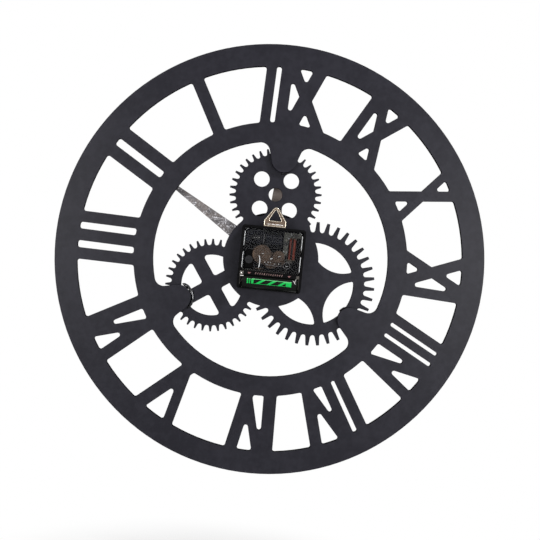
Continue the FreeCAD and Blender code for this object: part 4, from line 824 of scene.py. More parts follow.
class Shop:
    """Holds the materials and puts finished pieces on their bodies."""

    def __init__(self) -> None:
        """Makes every material once."""
        self.materials = {finish.slot: finish.build() for finish in FINISHES}
        self.trims = {trim.name: trim.build() for trim in TRIMS}

    def dress_nodes(self) -> None:
        """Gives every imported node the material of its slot."""
        for row in frame["record"]["subparts"]:
            node = frame["nodes"][row["node"]]
            node.data.materials.clear()
            own = NODE_TRIMS.get(row["node"])
            node.data.materials.append(self.trims[own] if own else self.materials[Slot(row["material_slot"])])
        LOG.info("dressed %d packed nodes", len(frame["nodes"]))

    def put(self, name: str, shape: bmesh.types.BMesh, body: Body, slot: Slot,
            trim: GlintAndMarkTrim | PaintedGlintMetal | None = None, smooth: bool = True) -> bpy.types.Object:
        """Turns a shape into a piece of the clock.

        Args:
            name: The piece's name.
            shape: Its mesh, in metres in the row frame.
            body: The body that it rides on.
            slot: The record's slot that it takes its finish from.
            trim: A finish of its own, if it has one.
            smooth: Whether its faces are shaded smooth.

        Returns:
            The piece.
        """
        bmesh.ops.recalc_face_normals(shape, faces=shape.faces)
        mesh = bpy.data.meshes.new(name)
        shape.to_mesh(mesh)
        shape.free()
        for face in mesh.polygons:
            face.use_smooth = smooth
        mesh.materials.append(self.trims[trim.name] if trim else self.materials[slot])
        piece = bpy.data.objects.new(name, mesh)
        bpy.context.scene.collection.objects.link(piece)
        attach(piece, body.value)
        LOG.info("made %s on %s with %d faces", name, body.value, len(mesh.polygons))
        return piece


def loft(shape: bmesh.types.BMesh, rings: list[list[Vector]], closed: bool = False) -> None:
    """Joins rings of points with faces.

    Args:
        shape: The mesh that gets them.
        rings: Rings with the same number of points.
        closed: Whether the last ring joins the first; otherwise both ends are capped.
    """
    rows = [[shape.verts.new(point) for point in ring] for ring in rings]
    count = len(rows[0])
    pairs = list(zip(rows, rows[1:] + rows[:1])) if closed else list(zip(rows, rows[1:]))
    for low, high in pairs:
        for k in range(count):
            follow = (k + 1) % count
            shape.faces.new((low[k], low[follow], high[follow], high[k]))
    if not closed:
        shape.faces.new(list(reversed(rows[0])))
        shape.faces.new(rows[-1])


def tube(shape: bmesh.types.BMesh, path: list[Vector], radius: Callable[[float], float], sides: int = 12,
         closed: bool = False, flat: float = 1.0) -> None:
    """Lays a round bar along a path in a plane parallel to the wall.

    Args:
        shape: The mesh that gets it.
        path: The points of its middle line, in metres.
        radius: Its radius in metres for each share of the path.
        sides: Points round the bar.
        closed: Whether the path is a loop.
        flat: The bar's height out of the plane as a share of its width.
    """
    count = len(path)
    rings = []
    for k, point in enumerate(path):
        ahead = path[(k + 1) % count] if closed else path[min(k + 1, count - 1)]
        behind = path[k - 1] if closed else path[max(k - 1, 0)]
        side = (ahead - behind).cross(TOWARDS_WALL).normalized()
        width = radius(k / max(count - 1, 1))
        rings.append([
            point + side * math.cos(turn) * width + TOWARDS_WALL * math.sin(turn) * width * flat
            for turn in (FULL_TURN * j / sides for j in range(sides))
        ])
    loft(shape, rings, closed)


def lathe(shape: bmesh.types.BMesh, start: Vector, axis: Vector, profile: Sequence[tuple], sides: int,
          wave: Callable[[float, float], float] | None = None) -> None:
    """Turns a profile round an axis.

    Args:
        shape: The mesh that gets it.
        start: The place that the profile's first numbers count from, in metres.
        axis: The axis, of length 1.
        profile: Pairs of distance along the axis and radius, in millimetres.
        sides: Points round the axis.
        wave: What is added to the radius in millimetres, for the turn and the distance.
    """
    across = axis.orthogonal().normalized()
    other = axis.cross(across)
    rings = []
    for along, radius in profile:
        ring = []
        for j in range(sides):
            turn = FULL_TURN * j / sides
            grown = (radius + (wave(turn, along) if wave else 0.0)) * MM
            outward = across * math.cos(turn) + other * math.sin(turn)
            ring.append(start + axis * along * MM + outward * grown)
        rings.append(ring)
    loft(shape, rings)


def slab(shape: bmesh.types.BMesh, outline: Sequence[tuple], rear: float, front: float) -> None:
    """Adds a flat plate parallel to the wall.

    Args:
        shape: The mesh that gets it.
        outline: Its corners as pairs of X and Z in millimetres.
        rear: The depth of its rear face.
        front: The depth of its front face.
    """
    loft(shape, [[place(x, depth, z) for x, z in outline] for depth in (rear, front)])


def arc_points(x: float, z: float, depth: float, radius: float, start: float, span: float,
               count: int) -> list[Vector]:
    """Gives points on an arc, with directions clockwise from twelve as seen from the front.

    Args:
        x: Its centre across, in millimetres.
        z: Its centre up, in millimetres.
        depth: Its depth, in millimetres.
        radius: Its radius, in millimetres.
        start: Where it starts, in degrees.
        span: How far it goes, in degrees.
        count: The number of points.

    Returns:
        The points in metres.
    """
    turns = [math.radians(start + span * k / (count - 1)) for k in range(count)]
    return [place(x + radius * math.sin(turn), depth, z + radius * math.cos(turn)) for turn in turns]


def stretches(corners: Sequence[tuple], steps: int) -> list[tuple[float, float]]:
    """Divides the straight stretches between corners into equal steps.

    Args:
        corners: Pairs of X and Z.
        steps: The number of steps of each stretch.

    Returns:
        Pairs of X and Z, without the last corner.
    """
    return [
        (x0 + (x1 - x0) * k / steps, z0 + (z1 - z0) * k / steps)
        for (x0, z0), (x1, z1) in zip(corners, corners[1:]) for k in range(steps)
    ]


def even(radius: float) -> Callable[[float], float]:
    """Gives the width of a bar that has one radius in millimetres all along."""
    return lambda share: radius * MM


def taper(radius: float, blunt: float, rise: float) -> Callable[[float], float]:
    """Gives the width of a bar that thins towards both ends.

    Args:
        radius: Its full radius in millimetres.
        blunt: The share of it that is left at the ends.
        rise: How fast that share grows with the share of the length.

    Returns:
        The radius in metres for each share of the length.
    """
    return lambda share: radius * min(1.0, blunt + rise * min(share, 1.0 - share)) * MM


def rod(shape: bmesh.types.BMesh, corners: Sequence[tuple], depth: float, steps: int,
        width: Callable[[float], float]) -> None:
    """Lays a round bar of ten sides through corners at one depth.

    Args:
        shape: The mesh that gets it.
        corners: Pairs of X and Z in millimetres.
        depth: The depth of its middle line.
        steps: The number of steps of each stretch.
        width: Its radius in metres for each share of its length.
    """
    points = [*stretches(corners, steps), corners[-1]]
    tube(shape, [place(x, depth, z) for x, z in points], width, 10)


@dataclass
class GlueBeads:
    """Hot glue squeezed out where the ring's lobes meet the gear plate; the bead at four is drawn long and
    thick, so that its black also stands for the lobe's shadow on the plate as painted shade.

    Each bead has its lobe's hour, the middle and span of its arc in degrees, its distance outside the lobe
    and its thickness. Each thread has its distance, the middle and span of its arc and its radius.
    """

    lobe_middle: float = 88.3
    lobe_radius: float = 11.0
    ring_turn: float = -1.9
    bead_depth: float = 16.1
    beads: tuple = (
        # Partly glue, partly painted shade: this bead reaches along the lobe's lower side, where its shadow
        # falls.
        (4, -11.5, 127.0, 1.45, 1.55),
        (8, -20.0, 35.0, 0.60, 0.92),
        (0, 11.5, 35.0, 0.75, 1.05),
    )
    lumps: int = 7
    seed: int = 11
    thread_hour: int = 4
    thread_depth: float = 14.6
    threads: tuple = ((1.75, -14.0, 38.0, 0.19), (0.85, -2.0, 22.0, 0.11), (1.3, 36.0, 7.0, 0.10))

    def beside(self, hour: int, distance: float, middle: float, span: float, depth: float,
               count: int) -> list[Vector]:
        """Gives points on an arc round the end of one lobe.

        Args:
            hour: The numeral that the lobe stands at.
            distance: How far the arc lies outside the lobe, in millimetres.
            middle: Degrees from the lobe's end to the arc's middle.
            span: The arc's span in degrees.
            depth: Its depth.
            count: The number of points.

        Returns:
            The points in metres.
        """
        direction = 30.0 * hour + self.ring_turn
        turn = math.radians(direction)
        x, z = self.lobe_middle * math.sin(turn), self.lobe_middle * math.cos(turn)
        start = direction + 180.0 + middle - span / 2.0
        return arc_points(x, z, depth, self.lobe_radius + distance, start, span, count)

    def lumpy(self, thickness: float, waves: list[float]) -> Callable[[float], float]:
        """Gives the uneven width of one bead.

        Args:
            thickness: Its mean radius in millimetres.
            waves: Where each of its ripples starts.

        Returns:
            The radius in metres for each share of the length.
        """
        def width(share: float) -> float:
            """Gives the radius at one share of the length."""
            ripple = sum(math.sin((k + 2) * 4.1 * share + wave) for k, wave in enumerate(waves)) / self.lumps
            return thickness * min(1.0, 9.0 * min(share, 1.0 - share) + 0.25) * (0.84 + 0.45 * ripple) * MM

        return width

    def make(self, shop: Shop) -> None:
        """Builds one uneven bead for each lobe, and thin pale threads along the widest, which stand in for
        its glint as painted highlights.

        Args:
            shop: Holds the materials and takes the pieces.
        """
        shape = bmesh.new()
        rng = random.Random(self.seed)
        for hour, middle, span, distance, thickness in self.beads:
            path = self.beside(hour, distance, middle, span, self.bead_depth, 72)
            waves = [rng.uniform(0.0, FULL_TURN) for _ in range(self.lumps)]
            tube(shape, path, self.lumpy(thickness, waves), 14)
        piece = shop.put("glue_and_painted_shade", shape, Body.CLOCK, Slot.GLUE)
        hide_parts("glue_beads")
        # Painted highlights: the pale threads stand in for the glint along the bead at four.
        shape = bmesh.new()
        for distance, middle, span, radius in self.threads:
            path = self.beside(self.thread_hour, distance, middle, span, self.thread_depth, 40)
            tube(shape, path, taper(radius, 0.2, 5.0), 8)
        shop.put("glue_thread_glints", shape, Body.CLOCK, Slot.GLUE, GLUE_THREAD_GLINT)


@dataclass
class Coil:
    """The motor's coil, wound in many turns between the spool's flanges."""

    side: float = -17.35
    depth: float = 7.5
    foot: float = 1.32
    top: float = 19.38
    core: float = 2.15
    radius: float = 3.2
    pitch: float = COIL_PITCH
    ridge: float = 0.09
    wander: float = 0.03
    ridge_steps: tuple = ((0.0, 0.0), (0.25, 0.75), (0.5, 1.0), (0.75, 0.75))

    def make(self, shop: Shop) -> None:
        """Builds the winding with a ridge for each turn.

        Args:
            shop: Holds the materials and takes the pieces.
        """
        turns = int((self.top - self.foot) / self.pitch)
        valley = self.radius - self.ridge
        ridges = [
            ((k + share) * self.pitch, valley + self.ridge * height)
            for k in range(turns) for share, height in self.ridge_steps
        ]
        profile = [(0.0, self.core), *ridges, (turns * self.pitch, valley), (turns * self.pitch, self.core)]
        shape = bmesh.new()
        lathe(shape, place(self.side, self.depth, self.foot), Vector((0.0, 0.0, 1.0)), profile, 40,
              lambda turn, along: -self.wander - self.wander * math.sin(2.0 * turn + 0.5 * along))
        piece = shop.put("wound_coil", shape, Body.CLOCK, Slot.WIRE)
        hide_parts("coil_winding")


@dataclass
class Cell:
    """The battery, with its jacket turned in over the steel caps.

    Its outline is pairs of distance and radius, from the flat cap to the button.
    """

    flat_cap: tuple = ((-25.2, 0.4), (-25.2, 4.7), (-25.05, 5.1), (-24.75, 5.35), (-24.8, 5.9), (-24.95, 6.2))
    flat_end: tuple = (
        (-24.9, 6.5), (-24.72, 6.8), (-24.45, 6.98), (-24.1, 7.07),
        (-23.2, 7.09), (-22.95, 7.04), (-22.7, 7.09),
    )
    button_end: tuple = (
        (0.0, 7.09), (22.4, 7.09), (22.65, 7.04), (22.9, 7.09), (23.3, 7.07), (23.62, 6.95), (23.82, 6.72),
    )
    button_cap: tuple = (
        (23.9, 6.45), (23.78, 6.25), (23.6, 6.1), (23.62, 3.6), (23.75, 3.05), (24.0, 2.72), (24.85, 2.66),
        (25.08, 2.5), (25.18, 2.2), (25.2, 0.4),
    )

    def make(self, shop: Shop) -> None:
        """Builds the cell as one turned shape.

        Args:
            shop: Holds the materials and takes the pieces.
        """
        profile = self.flat_cap + self.flat_end + self.button_end + self.button_cap
        shape = bmesh.new()
        lathe(shape, place(0.0, CELL_DEPTH, -CELL_DROP), Vector((1.0, 0.0, 0.0)), profile, 64)
        piece = shop.put("dry_cell", shape, Body.BATTERY, Slot.JACKET)
        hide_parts("battery")


@dataclass
class CaseMarks:
    """Plain marks on the strip between the cover and the cell."""

    ticks: int = 13
    first: float = -10.6
    last: float = 12.4
    rise: float = -13.55
    length: float = 1.35
    long_every: int = 4
    long_share: float = 1.25
    width: float = 0.55
    lean: float = 0.3
    end_places: tuple = (18.0, -17.0)
    end_mark: tuple = ((-1.5, -13.1), (1.5, -13.1), (0.55, -14.1), (0.0, -14.6), (-0.55, -14.1))
    rear: float = -0.015
    front: float = 0.05

    def tick(self, x: float, length: float) -> list[tuple[float, float]]:
        """Gives the corners of one leaning tick.

        Args:
            x: Its middle across.
            length: Its length.

        Returns:
            Pairs of X and Z in millimetres.
        """
        half = self.width / 2.0
        low, high = self.rise - length / 2, self.rise + length / 2
        return [(x - half + self.lean, low), (x + half + self.lean, low),
                (x + half - self.lean, high), (x - half - self.lean, high)]

    def make(self, shop: Shop) -> None:
        """Builds the row of ticks and the two marks that show the cell's ends.

        Args:
            shop: Holds the materials and takes the pieces.
        """
        shape = bmesh.new()
        for k in range(self.ticks):
            x = self.first + (self.last - self.first) * k / (self.ticks - 1)
            length = self.length * (self.long_share if k % self.long_every == 0 else 1.0)
            slab(shape, self.tick(x, length), self.rear, self.front)
        shop.put("strip_ticks", shape, Body.CLOCK, Slot.CASE, TICK_MARK, False)
        shape = bmesh.new()
        for x in self.end_places:
            slab(shape, [(x + off, z) for off, z in self.end_mark], self.rear, self.front)
        shop.put("cell_end_marks", shape, Body.CLOCK, Slot.CASE, RED_MARK, False)


@dataclass
class CoverGlints:
    """Pale bars along the cover's side edges, its corners and its rib, which stand in for their glints as
    painted highlights.
    """

    side: float = 25.15
    depth: float = 0.05
    edges: tuple = (
        ((-0.25, 22.6), (0.0, 21.6), (0.0, 15.0), (0.0, 9.6)),
        ((0.0, 4.6), (0.0, 0.0), (0.0, -5.0), (0.0, -9.6)),
    )
    edge_radius: float = 0.36
    corner: tuple = ((24.4, 23.6), (23.4, 24.5), (22.2, 24.95))
    corner_radius: float = 0.12
    rib: tuple = ((11.2, 2.3), (10.4, 0.6), (10.0, -1.4), (10.0, -4.4), (10.4, -8.8))
    rib_radius: float = 0.50

    def bar(self, shape: bmesh.types.BMesh, corners: Sequence[tuple], radius: float) -> None:
        """Adds one round bar with tapered ends, just in front of the cover's rear face.

        Args:
            shape: The mesh that gets it.
            corners: Pairs of X and Z in millimetres.
            radius: Its radius.
        """
        rod(shape, corners, self.depth + radius, 6, taper(radius, 0.3, 9.0))

    def make(self, shop: Shop) -> None:
        """Builds the pale bars beside the snap nibs, along the corners and over the train, as painted
        highlights.

        Args:
            shop: Holds the materials and takes the pieces.
        """
        # Painted highlights: these bars are pale so that they stand in for the cover's glints.
        shape = bmesh.new()
        for side in (1.0, -1.0):
            for edge in self.edges:
                self.bar(shape, [(side * (self.side + off), z) for off, z in edge], self.edge_radius)
        for side in (1.0, -1.0):
            self.bar(shape, [(side * x, z) for x, z in self.corner], self.corner_radius)
        shop.put("cover_edge_glints", shape, Body.CLOCK, Slot.COVER, CLEAR_EDGE_GLINT)
        shape = bmesh.new()
        self.bar(shape, self.rib, self.rib_radius)
        shop.put("cover_rib_glint", shape, Body.CLOCK, Slot.COVER, CLEAR_EDGE_GLINT)


@dataclass
class InnerGlints:
    """Small raised details in and behind the cover, in pale finishes that stand in for their glints as
    painted highlights.
    """

    panel_face: float = 4.33
    cover_inside: float = 0.55
    boss_ridge_glints: tuple = (
        ((1.4, -0.15), (-1.05, 1.0), 0.40), ((8.9, 3.95), (7.0, 4.45), 0.20),
        ((-5.7, 2.7), (-7.6, 3.1), 0.26), ((-12.7, -5.05), (-14.7, -4.8), 0.20),
    )
    glint_dashes: tuple = ((5.5, -3.2), (2.7, -3.0), (0.4, -3.0), (-3.1, -4.0), (-6.8, -3.7))
    dash_half: float = 0.7
    dash_radius: float = 0.36
    wave: tuple = ((5.2, -4.7), (1.9, -5.5), (-0.6, -5.3), (-3.1, -5.9), (-6.1, -5.3), (-9.6, -5.8))
    wave_radius: float = 0.20
    boss: tuple = (-13.7, -4.5, 2.8)
    boss_edge: float = 0.13
    divider: tuple = ((8.2, 13.3), (8.1, 22.0))
    divider_radius: float = 0.24
    marks: tuple = (
        (19.1, (3.9, 2.5, 1.4, -0.9, -2.4, -4.3, -5.6, -7.0)),
        (15.6, (3.2, 0.9, -1.9, -3.1, -5.0, -6.8)),
    )
    mark_radius: float = 0.15
    eye: tuple = (14.6, 17.6, 4.3, 2.1)
    eye_height: float = 0.12
    pins: tuple = ((16.46, 17.2), (14.5, 17.6), (12.4, 17.95))
    pin_radius: float = 0.50
    pin_height: float = 0.45

    def dome(self, shape: bmesh.types.BMesh, x: float, z: float) -> None:
        """Adds a pin's low dome on the panel's face, which looks to the wall.

        Args:
            shape: The mesh that gets it.
            x: Its middle across, in millimetres.
            z: Its middle up, in millimetres.
        """
        turns = [math.pi / 2.0 * k / 6.0 for k in range(6)]
        profile = [(self.pin_height * math.sin(turn), self.pin_radius * math.cos(turn)) for turn in turns]
        profile.append((self.pin_height, self.pin_radius * 0.1))
        lathe(shape, place(x, self.panel_face + 0.05, z), TOWARDS_WALL, profile, 20)

    def ridge(self, shape: bmesh.types.BMesh, corners: Sequence[tuple], depth: float, radius: float) -> None:
        """Adds a round ridge with tapered ends.

        Args:
            shape: The mesh that gets it.
            corners: Pairs of X and Z in millimetres.
            depth: The depth of its middle line.
            radius: Its radius.
        """
        rod(shape, corners, depth, 5, taper(radius, 0.35, 7.0))

    def make(self, shop: Shop) -> None:
        """Builds what stands on the cover's inner face, then what stands on the panels.

        Args:
            shop: Holds the materials and takes the pieces.
        """
        # Painted highlights: the boss ridges, the row of dashes, the wavy line and the boss's rim are pale so
        # that they stand in for glints.
        shape = bmesh.new()
        for first, last, radius in self.boss_ridge_glints:
            self.ridge(shape, (first, last), self.cover_inside, radius)
        shop.put("boss_ridge_glints", shape, Body.CLOCK, Slot.COVER, CLEAR_EDGE_GLINT)
        shape = bmesh.new()
        for x, z in self.glint_dashes:
            ends = ((x, z + self.dash_half), (x, z - self.dash_half))
            self.ridge(shape, ends, self.cover_inside, self.dash_radius)
        shop.put("cover_bead_glints", shape, Body.CLOCK, Slot.COVER, PALE_GLINT_BEAD)
        shape = bmesh.new()
        for ends in zip(self.wave, self.wave[1:]):
            self.ridge(shape, ends, self.cover_inside, self.wave_radius)
        x, z, radius = self.boss
        circle = arc_points(x, z, self.cover_inside, radius, 0.0, 354.0, 60)
        tube(shape, circle, even(self.boss_edge), 8, True)
        shop.put("boss_rim_glint", shape, Body.CLOCK, Slot.COVER, DIM_GLINT_BEAD)
        self.dress_panels(shop)

    def dress_panels(self, shop: Shop) -> None:
        """Builds the panels' divider and marks, the dark oval and the three pins.

        Args:
            shop: Holds the materials and takes the pieces.
        """
        # Painted highlights: the divider, the marks and the pins are pale so that they stand in for glints.
        shape = bmesh.new()
        self.ridge(shape, self.divider, self.panel_face, self.divider_radius)
        for rise, places in self.marks:
            for x in places:
                ends = ((x + 0.45, rise - 0.1), (x - 0.45, rise + 0.15))
                self.ridge(shape, ends, self.panel_face, self.mark_radius)
        shop.put("panel_trim_glints", shape, Body.CLOCK, Slot.CASE, DIM_GLINT_BEAD)
        shape = bmesh.new()
        x, z, wide, tall = self.eye
        turns = [FULL_TURN * k / 32.0 for k in range(32)]
        outline = [(x + wide * math.sin(turn), z + tall * math.cos(turn)) for turn in turns]
        slab(shape, outline, self.panel_face, self.panel_face + self.eye_height)
        shop.put("panel_eye", shape, Body.CLOCK, Slot.KNOB, None, False)
        shape = bmesh.new()
        for x, z in self.pins:
            self.dome(shape, x, z)
        shop.put("panel_pin_glints", shape, Body.CLOCK, Slot.CASE, PALE_GLINT_BEAD)


@dataclass
class ContactGlints:
    """The rolled lip on the tab and the wrinkles of the cell's shrunk jacket at its other end, in bright
    finishes that stand in for their glints as painted highlights.
    """

    lip: tuple = ((26.6, -16.75), (22.6, -16.5))
    lip_depth: float = 0.62
    lip_radius: float = 0.42
    dimple: tuple = (24.9, 0.9, -14.1)
    dimple_profile: tuple = ((0.0, 0.62), (0.2, 0.58), (0.38, 0.42), (0.46, 0.2), (0.48, 0.05))
    wrinkles: tuple = (
        ((-20.5, -16.6), (-22.0, -18.3), (-23.2, -20.2)),
        ((-22.0, -18.3), (-23.0, -16.6), (-23.7, -15.0)),
    )
    wrinkle_radius: float = 0.36
    wrinkle_sink: float = 0.12
    jacket_radius: float = 7.1

    def make(self, shop: Shop) -> None:
        """Builds the lip with its dimple, and the wrinkles, which ride on the cell; both are painted
        highlights.

        Args:
            shop: Holds the materials and takes the pieces.
        """
        shape = bmesh.new()
        rod(shape, self.lip, self.lip_depth, 11, taper(self.lip_radius, 0.4, 5.0))
        lathe(shape, place(*self.dimple), TOWARDS_WALL, self.dimple_profile, 20)
        shop.put("tab_lip_glint", shape, Body.CLOCK, Slot.NICKEL, FOLD_GLINT_METAL)
        shape = bmesh.new()
        for corners in self.wrinkles:
            path = []
            for x, z in stretches(corners, 6):
                bulge = math.sqrt(self.jacket_radius ** 2 - (z + CELL_DROP) ** 2)
                path.append(place(x, CELL_DEPTH - bulge + self.wrinkle_sink, z))
            tube(shape, path, taper(self.wrinkle_radius, 0.3, 5.0), 10)
        shop.put("jacket_wrinkle_glints", shape, Body.BATTERY, Slot.JACKET, PALE_GLINT_BEAD)


@dataclass
class HangerRims:
    """The rolled rims round the pressed hanger and round its hole, and the fold at its foot, in bright metal
    that stands in for their glints as painted highlights.
    """

    foot: float = 28.4
    shoulder: float = 33.3
    apex: float = 46.5
    half: float = 9.6
    tip_radius: float = 2.6
    rim: float = 0.36
    depth: float = 0.36
    hole: tuple = ((-6.3, 33.1, 1.2), (6.3, 33.1, 1.2), (0.0, 44.55, 1.2))
    hole_rim: float = 0.30
    fold_half: float = 7.4
    fold_rise: float = 30.3
    fold_depth: float = 0.42
    fold_radius: float = 0.5
    fold_sway: float = 0.12
    fold_points: int = 24
    seed: int = 5

    def rounded(self, corners: Sequence[tuple]) -> list[Vector]:
        """Gives a closed path through corners that each have a radius.

        Args:
            corners: X, Z and radius of each corner in millimetres.

        Returns:
            The path's points in metres.
        """
        path = []
        for k, (x, z, radius) in enumerate(corners):
            here = Vector((x, z))
            into = (Vector(corners[k - 1][:2]) - here).normalized()
            away = (Vector(corners[(k + 1) % len(corners)][:2]) - here).normalized()
            half = into.angle(away) / 2.0
            middle = here + (into + away).normalized() * (radius / math.sin(half))
            first = here + into * (radius / math.tan(half)) - middle
            last = here + away * (radius / math.tan(half)) - middle
            sweep = first.angle_signed(last)
            for j in range(9):
                turned = first.copy()
                turned.rotate(Matrix.Rotation(-sweep * j / 8.0, 2))
                path.append(place(middle.x + turned.x, self.depth, middle.y + turned.y))
        return path

    def make(self, shop: Shop) -> None:
        """Builds both rims and the bright bar that folds over the sleeve; their bright finish is a painted
        highlight.

        Args:
            shop: Holds the materials and takes the pieces.
        """
        shape = bmesh.new()
        edge, foot = self.half - self.rim, self.foot + self.rim
        outline = ((-edge, foot, 0.5), (edge, foot, 0.5), (edge, self.shoulder, 0.8),
                   (0.0, self.apex, self.tip_radius - self.rim), (-edge, self.shoulder, 0.8))
        tube(shape, self.rounded(outline), even(self.rim), 10, True)
        tube(shape, self.rounded(self.hole), even(self.hole_rim), 10, True)
        shop.put("hanger_rims", shape, Body.CLOCK, Slot.HANGER, RIM_GLINT_METAL)
        shape = bmesh.new()
        rng = random.Random(self.seed)
        bumps = [rng.uniform(0.75, 1.0) for _ in range(self.fold_points)]
        last = self.fold_points - 1
        path = []
        for k in range(self.fold_points):
            rise = self.fold_rise + self.fold_sway * math.sin(1.9 * k)
            path.append(place(self.fold_half * (2.0 * k / last - 1.0), self.fold_depth, rise))
        bar = taper(self.fold_radius, 0.35, 8.0)
        tube(shape, path, lambda share: bar(share) * bumps[round(share * last)], 10, False, 0.8)
        shop.put("hanger_fold_glint", shape, Body.CLOCK, Slot.HANGER, FOLD_GLINT_METAL)


@dataclass
class FrontFittings:
    """What the front shows at the arbor: the bush's thread and the knurled hand nut."""

    bush_radius: float = 4.0
    thread_start: float = 28.95
    thread_end: float = 30.1
    thread_pitch: float = 0.5
    thread_radius: float = 0.13
    thread_sides: int = 64
    nut_rear: float = 34.8
    nut_profile: tuple = (
        (0.0, 1.35), (0.0, 2.62), (0.12, 2.76), (0.4, 2.8), (1.5, 2.8),
        (2.3, 2.8), (2.58, 2.74), (2.72, 2.55), (2.8, 2.2), (2.8, 0.25),
    )
    knurls: float = 30.0
    knurl_height: float = 0.07
    knurl_low: float = 0.3
    knurl_high: float = 2.4

    def knurled(self, turn: float, along: float) -> float:
        """Gives how far the nut's wall stands out at one turn and distance."""
        grown = self.knurl_height * math.cos(self.knurls * turn)
        return grown if self.knurl_low < along < self.knurl_high else 0.0

    def make(self, shop: Shop) -> None:
        """Builds the thread and the nut.

        Args:
            shop: Holds the materials and takes the pieces.
        """
        shape = bmesh.new()
        span = 360.0 - 360.0 / self.thread_sides
        depth = self.thread_start
        while depth < self.thread_end:
            circle = arc_points(0.0, 0.0, depth, self.bush_radius, 0.0, span, self.thread_sides)
            tube(shape, circle, even(self.thread_radius), 6, True)
            depth += self.thread_pitch
        shop.put("bush_thread", shape, Body.CLOCK, Slot.BRASS)
        shape = bmesh.new()
        lathe(shape, place(0.0, self.nut_rear, 0.0), -TOWARDS_WALL, self.nut_profile, 120, self.knurled)
        piece = shop.put("knurled_hand_nut", shape, Body.MINUTE_HAND, Slot.BRASS)
        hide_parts("hand_nut")


@dataclass
class BoardTracks:
    """Copper tracks and solder on the circuit board."""

    depth: float = 3.19
    tracks: tuple = (
        ((-10.2, 8.0), (-10.2, 12.4), (-10.9, 13.2)),
        ((-12.9, 8.0), (-12.6, 12.6)),
        ((-12.4, 15.8), (-13.4, 18.6), (-13.4, 22.0), (-15.8, 22.4)),
        ((-10.6, 15.6), (-10.4, 23.4), (-15.2, 23.5)),
    )
    track_radius: float = 0.28
    drops: tuple = ((-10.2, 7.6), (-12.9, 7.6), (-13.4, 19.4), (-16.0, 22.4), (-15.4, 23.5))
    drop_profile: tuple = ((0.0, 0.85), (0.18, 0.78), (0.42, 0.55), (0.6, 0.3), (0.68, 0.05))

    def make(self, shop: Shop) -> None:
        """Builds the tracks and the solder drops.

        Args:
            shop: Holds the materials and takes the pieces.
        """
        shape = bmesh.new()
        for corners in self.tracks:
            path = [place(x, self.depth, z) for x, z in corners]
            tube(shape, path, even(self.track_radius), 8, False, 0.3)
        shop.put("board_tracks", shape, Body.CLOCK, Slot.LAMINATE)
        shape = bmesh.new()
        for x, z in self.drops:
            lathe(shape, place(x, self.depth + 0.02, z), TOWARDS_WALL, self.drop_profile, 20)
        shop.put("solder_drops", shape, Body.CLOCK, Slot.SPRING)


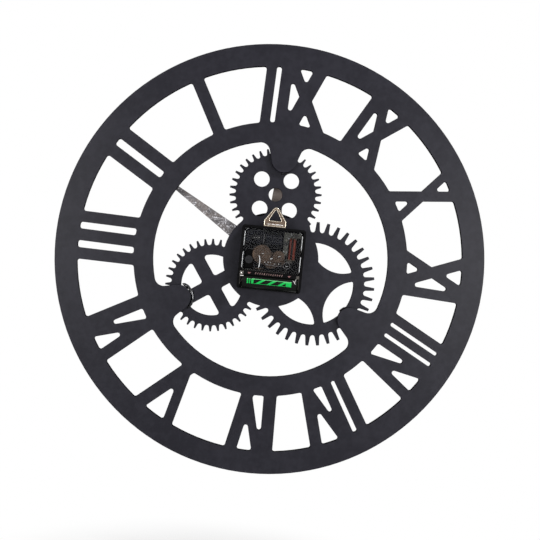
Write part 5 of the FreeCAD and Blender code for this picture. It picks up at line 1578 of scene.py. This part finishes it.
@dataclass
class Studio:
    """The camera, the lamps, the floor and the white surroundings."""

    focal_pixels: float = 1013.5
    distance: float = 883.2
    yaw: float = 1.883
    roll: float = 5.804
    middle_x: float = 271.40
    middle_y: float = 259.22
    picture: float = 540.0
    sensor: float = 36.0
    reach: float = 50.0
    floor_drop: float = 300.0
    floor_half: float = 12.0
    floor_tones: tuple = ((0.80, 0.80, 0.80), (0.83, 0.83, 0.83))
    shade_left: float = 0.6
    world_light: float = 0.14
    lamps: tuple = (
        ("key", (-0.62, 0.80, 0.90), 0.22, 11.0),
        ("right_box", (-0.52, 1.00, 0.04), 0.42, 4.2),
        ("left_box", (0.52, 1.00, 0.04), 0.42, 3.8),
        ("front", (-0.5, -1.2, 0.9), 1.0, 8.0),
    )

    def camera(self) -> None:
        """Sets the camera behind the clock, turned and rolled as in the photograph."""
        data = bpy.data.cameras.new("camera")
        data.sensor_width = self.sensor
        data.lens = self.focal_pixels / self.picture * self.sensor
        data.shift_x = (self.picture / 2.0 - self.middle_x) / self.picture
        data.shift_y = (self.middle_y - self.picture / 2.0) / self.picture
        data.clip_end = self.reach
        camera = bpy.data.objects.new("camera", data)
        bpy.context.scene.collection.objects.link(camera)
        turn, lean = math.radians(self.yaw), math.radians(self.roll)
        across = Vector((-math.cos(turn), math.sin(turn), 0.0))
        up = Vector((0.0, 0.0, 1.0))
        right = across * math.cos(lean) + up * math.sin(lean)
        above = up * math.cos(lean) - across * math.sin(lean)
        back = Vector((math.sin(turn), math.cos(turn), 0.0))
        spin = Matrix((right, above, back)).transposed().to_4x4()
        camera.matrix_world = Matrix.Translation(back * self.distance * MM) @ spin
        bpy.context.scene.camera = camera

    def lamp(self, name: str, spot: tuple, size: float, power: float) -> None:
        """Adds one soft square lamp that faces the clock.

        Args:
            name: Its name.
            spot: Its place in metres.
            size: Its side in metres.
            power: Its power in watts.
        """
        data = bpy.data.lights.new(name, "AREA")
        data.size = size
        data.energy = power
        lamp = bpy.data.objects.new(name, data)
        bpy.context.scene.collection.objects.link(lamp)
        lamp.location = spot
        lamp.rotation_euler = (-Vector(spot)).to_track_quat("-Z", "Y").to_euler()

    def floor(self) -> None:
        """Lays the pale floor, white to the camera except for the clock's shadow."""
        tree = Tree("floor")
        x, y, _z = tree.parts(tree.where())
        away = (x * x + y * y).root().ramp(0.10, 0.28)
        pale = tree.mix(tree.noise(40.0, 2.0), *self.floor_tones)
        matt = tree.out(tree.add("ShaderNodeBsdfPrincipled", None, {"Base Color": pale, "Roughness": 0.9}))
        white = tree.out(tree.add("ShaderNodeEmission", None, {"Color": (1.0, 1.0, 1.0), "Strength": 1.0}))
        share = tree.seen() * (self.shade_left + away * (1.0 - self.shade_left))
        mixed = tree.out(tree.add("ShaderNodeMixShader", None, {0: share, 1: matt, 2: white}))
        tree.add("ShaderNodeOutputMaterial", None, {"Surface": mixed})
        shape = bmesh.new()
        bmesh.ops.create_grid(shape, x_segments=8, y_segments=8, size=self.floor_half)
        mesh = bpy.data.meshes.new("floor")
        shape.to_mesh(mesh)
        shape.free()
        mesh.materials.append(tree.owner)
        floor = bpy.data.objects.new("floor", mesh)
        floor.location = (0.0, 0.0, -self.floor_drop * MM)
        bpy.context.scene.collection.objects.link(floor)

    def surroundings(self) -> None:
        """Makes the world white to the eye and in reflections, and a soft light otherwise."""
        tree = Tree("studio", bpy.data.worlds.new("studio"))
        values = {"Value": tree.seen(), "To Min": self.world_light, "To Max": 1.0}
        strength = tree.out(tree.add("ShaderNodeMapRange", None, values))
        light = tree.add("ShaderNodeBackground", None, {"Color": (1.0, 1.0, 1.0), "Strength": strength})
        tree.add("ShaderNodeOutputWorld", None, {"Surface": tree.out(light)})
        bpy.context.scene.world = tree.owner

    def make(self) -> None:
        """Sets up everything that isn't part of the clock."""
        self.camera()
        for name, spot, size, power in self.lamps:
            self.lamp(name, spot, size, power)
        self.floor()
        self.surroundings()
        bpy.context.scene.view_settings.view_transform = "Standard"
        LOG.info("studio ready")


def main() -> None:
    """Builds the studio and the clock's pieces."""
    logging.basicConfig(level=logging.INFO, format="%(message)s")
    Studio().make()
    shop = Shop()
    shop.dress_nodes()
    for assembly in (GlueBeads(), Coil(), Cell(), CaseMarks(), CoverGlints(), InnerGlints(), ContactGlints(),
                     HangerRims(), FrontFittings(), BoardTracks()):
        assembly.make(shop)


if __name__ == "__main__":
    main()
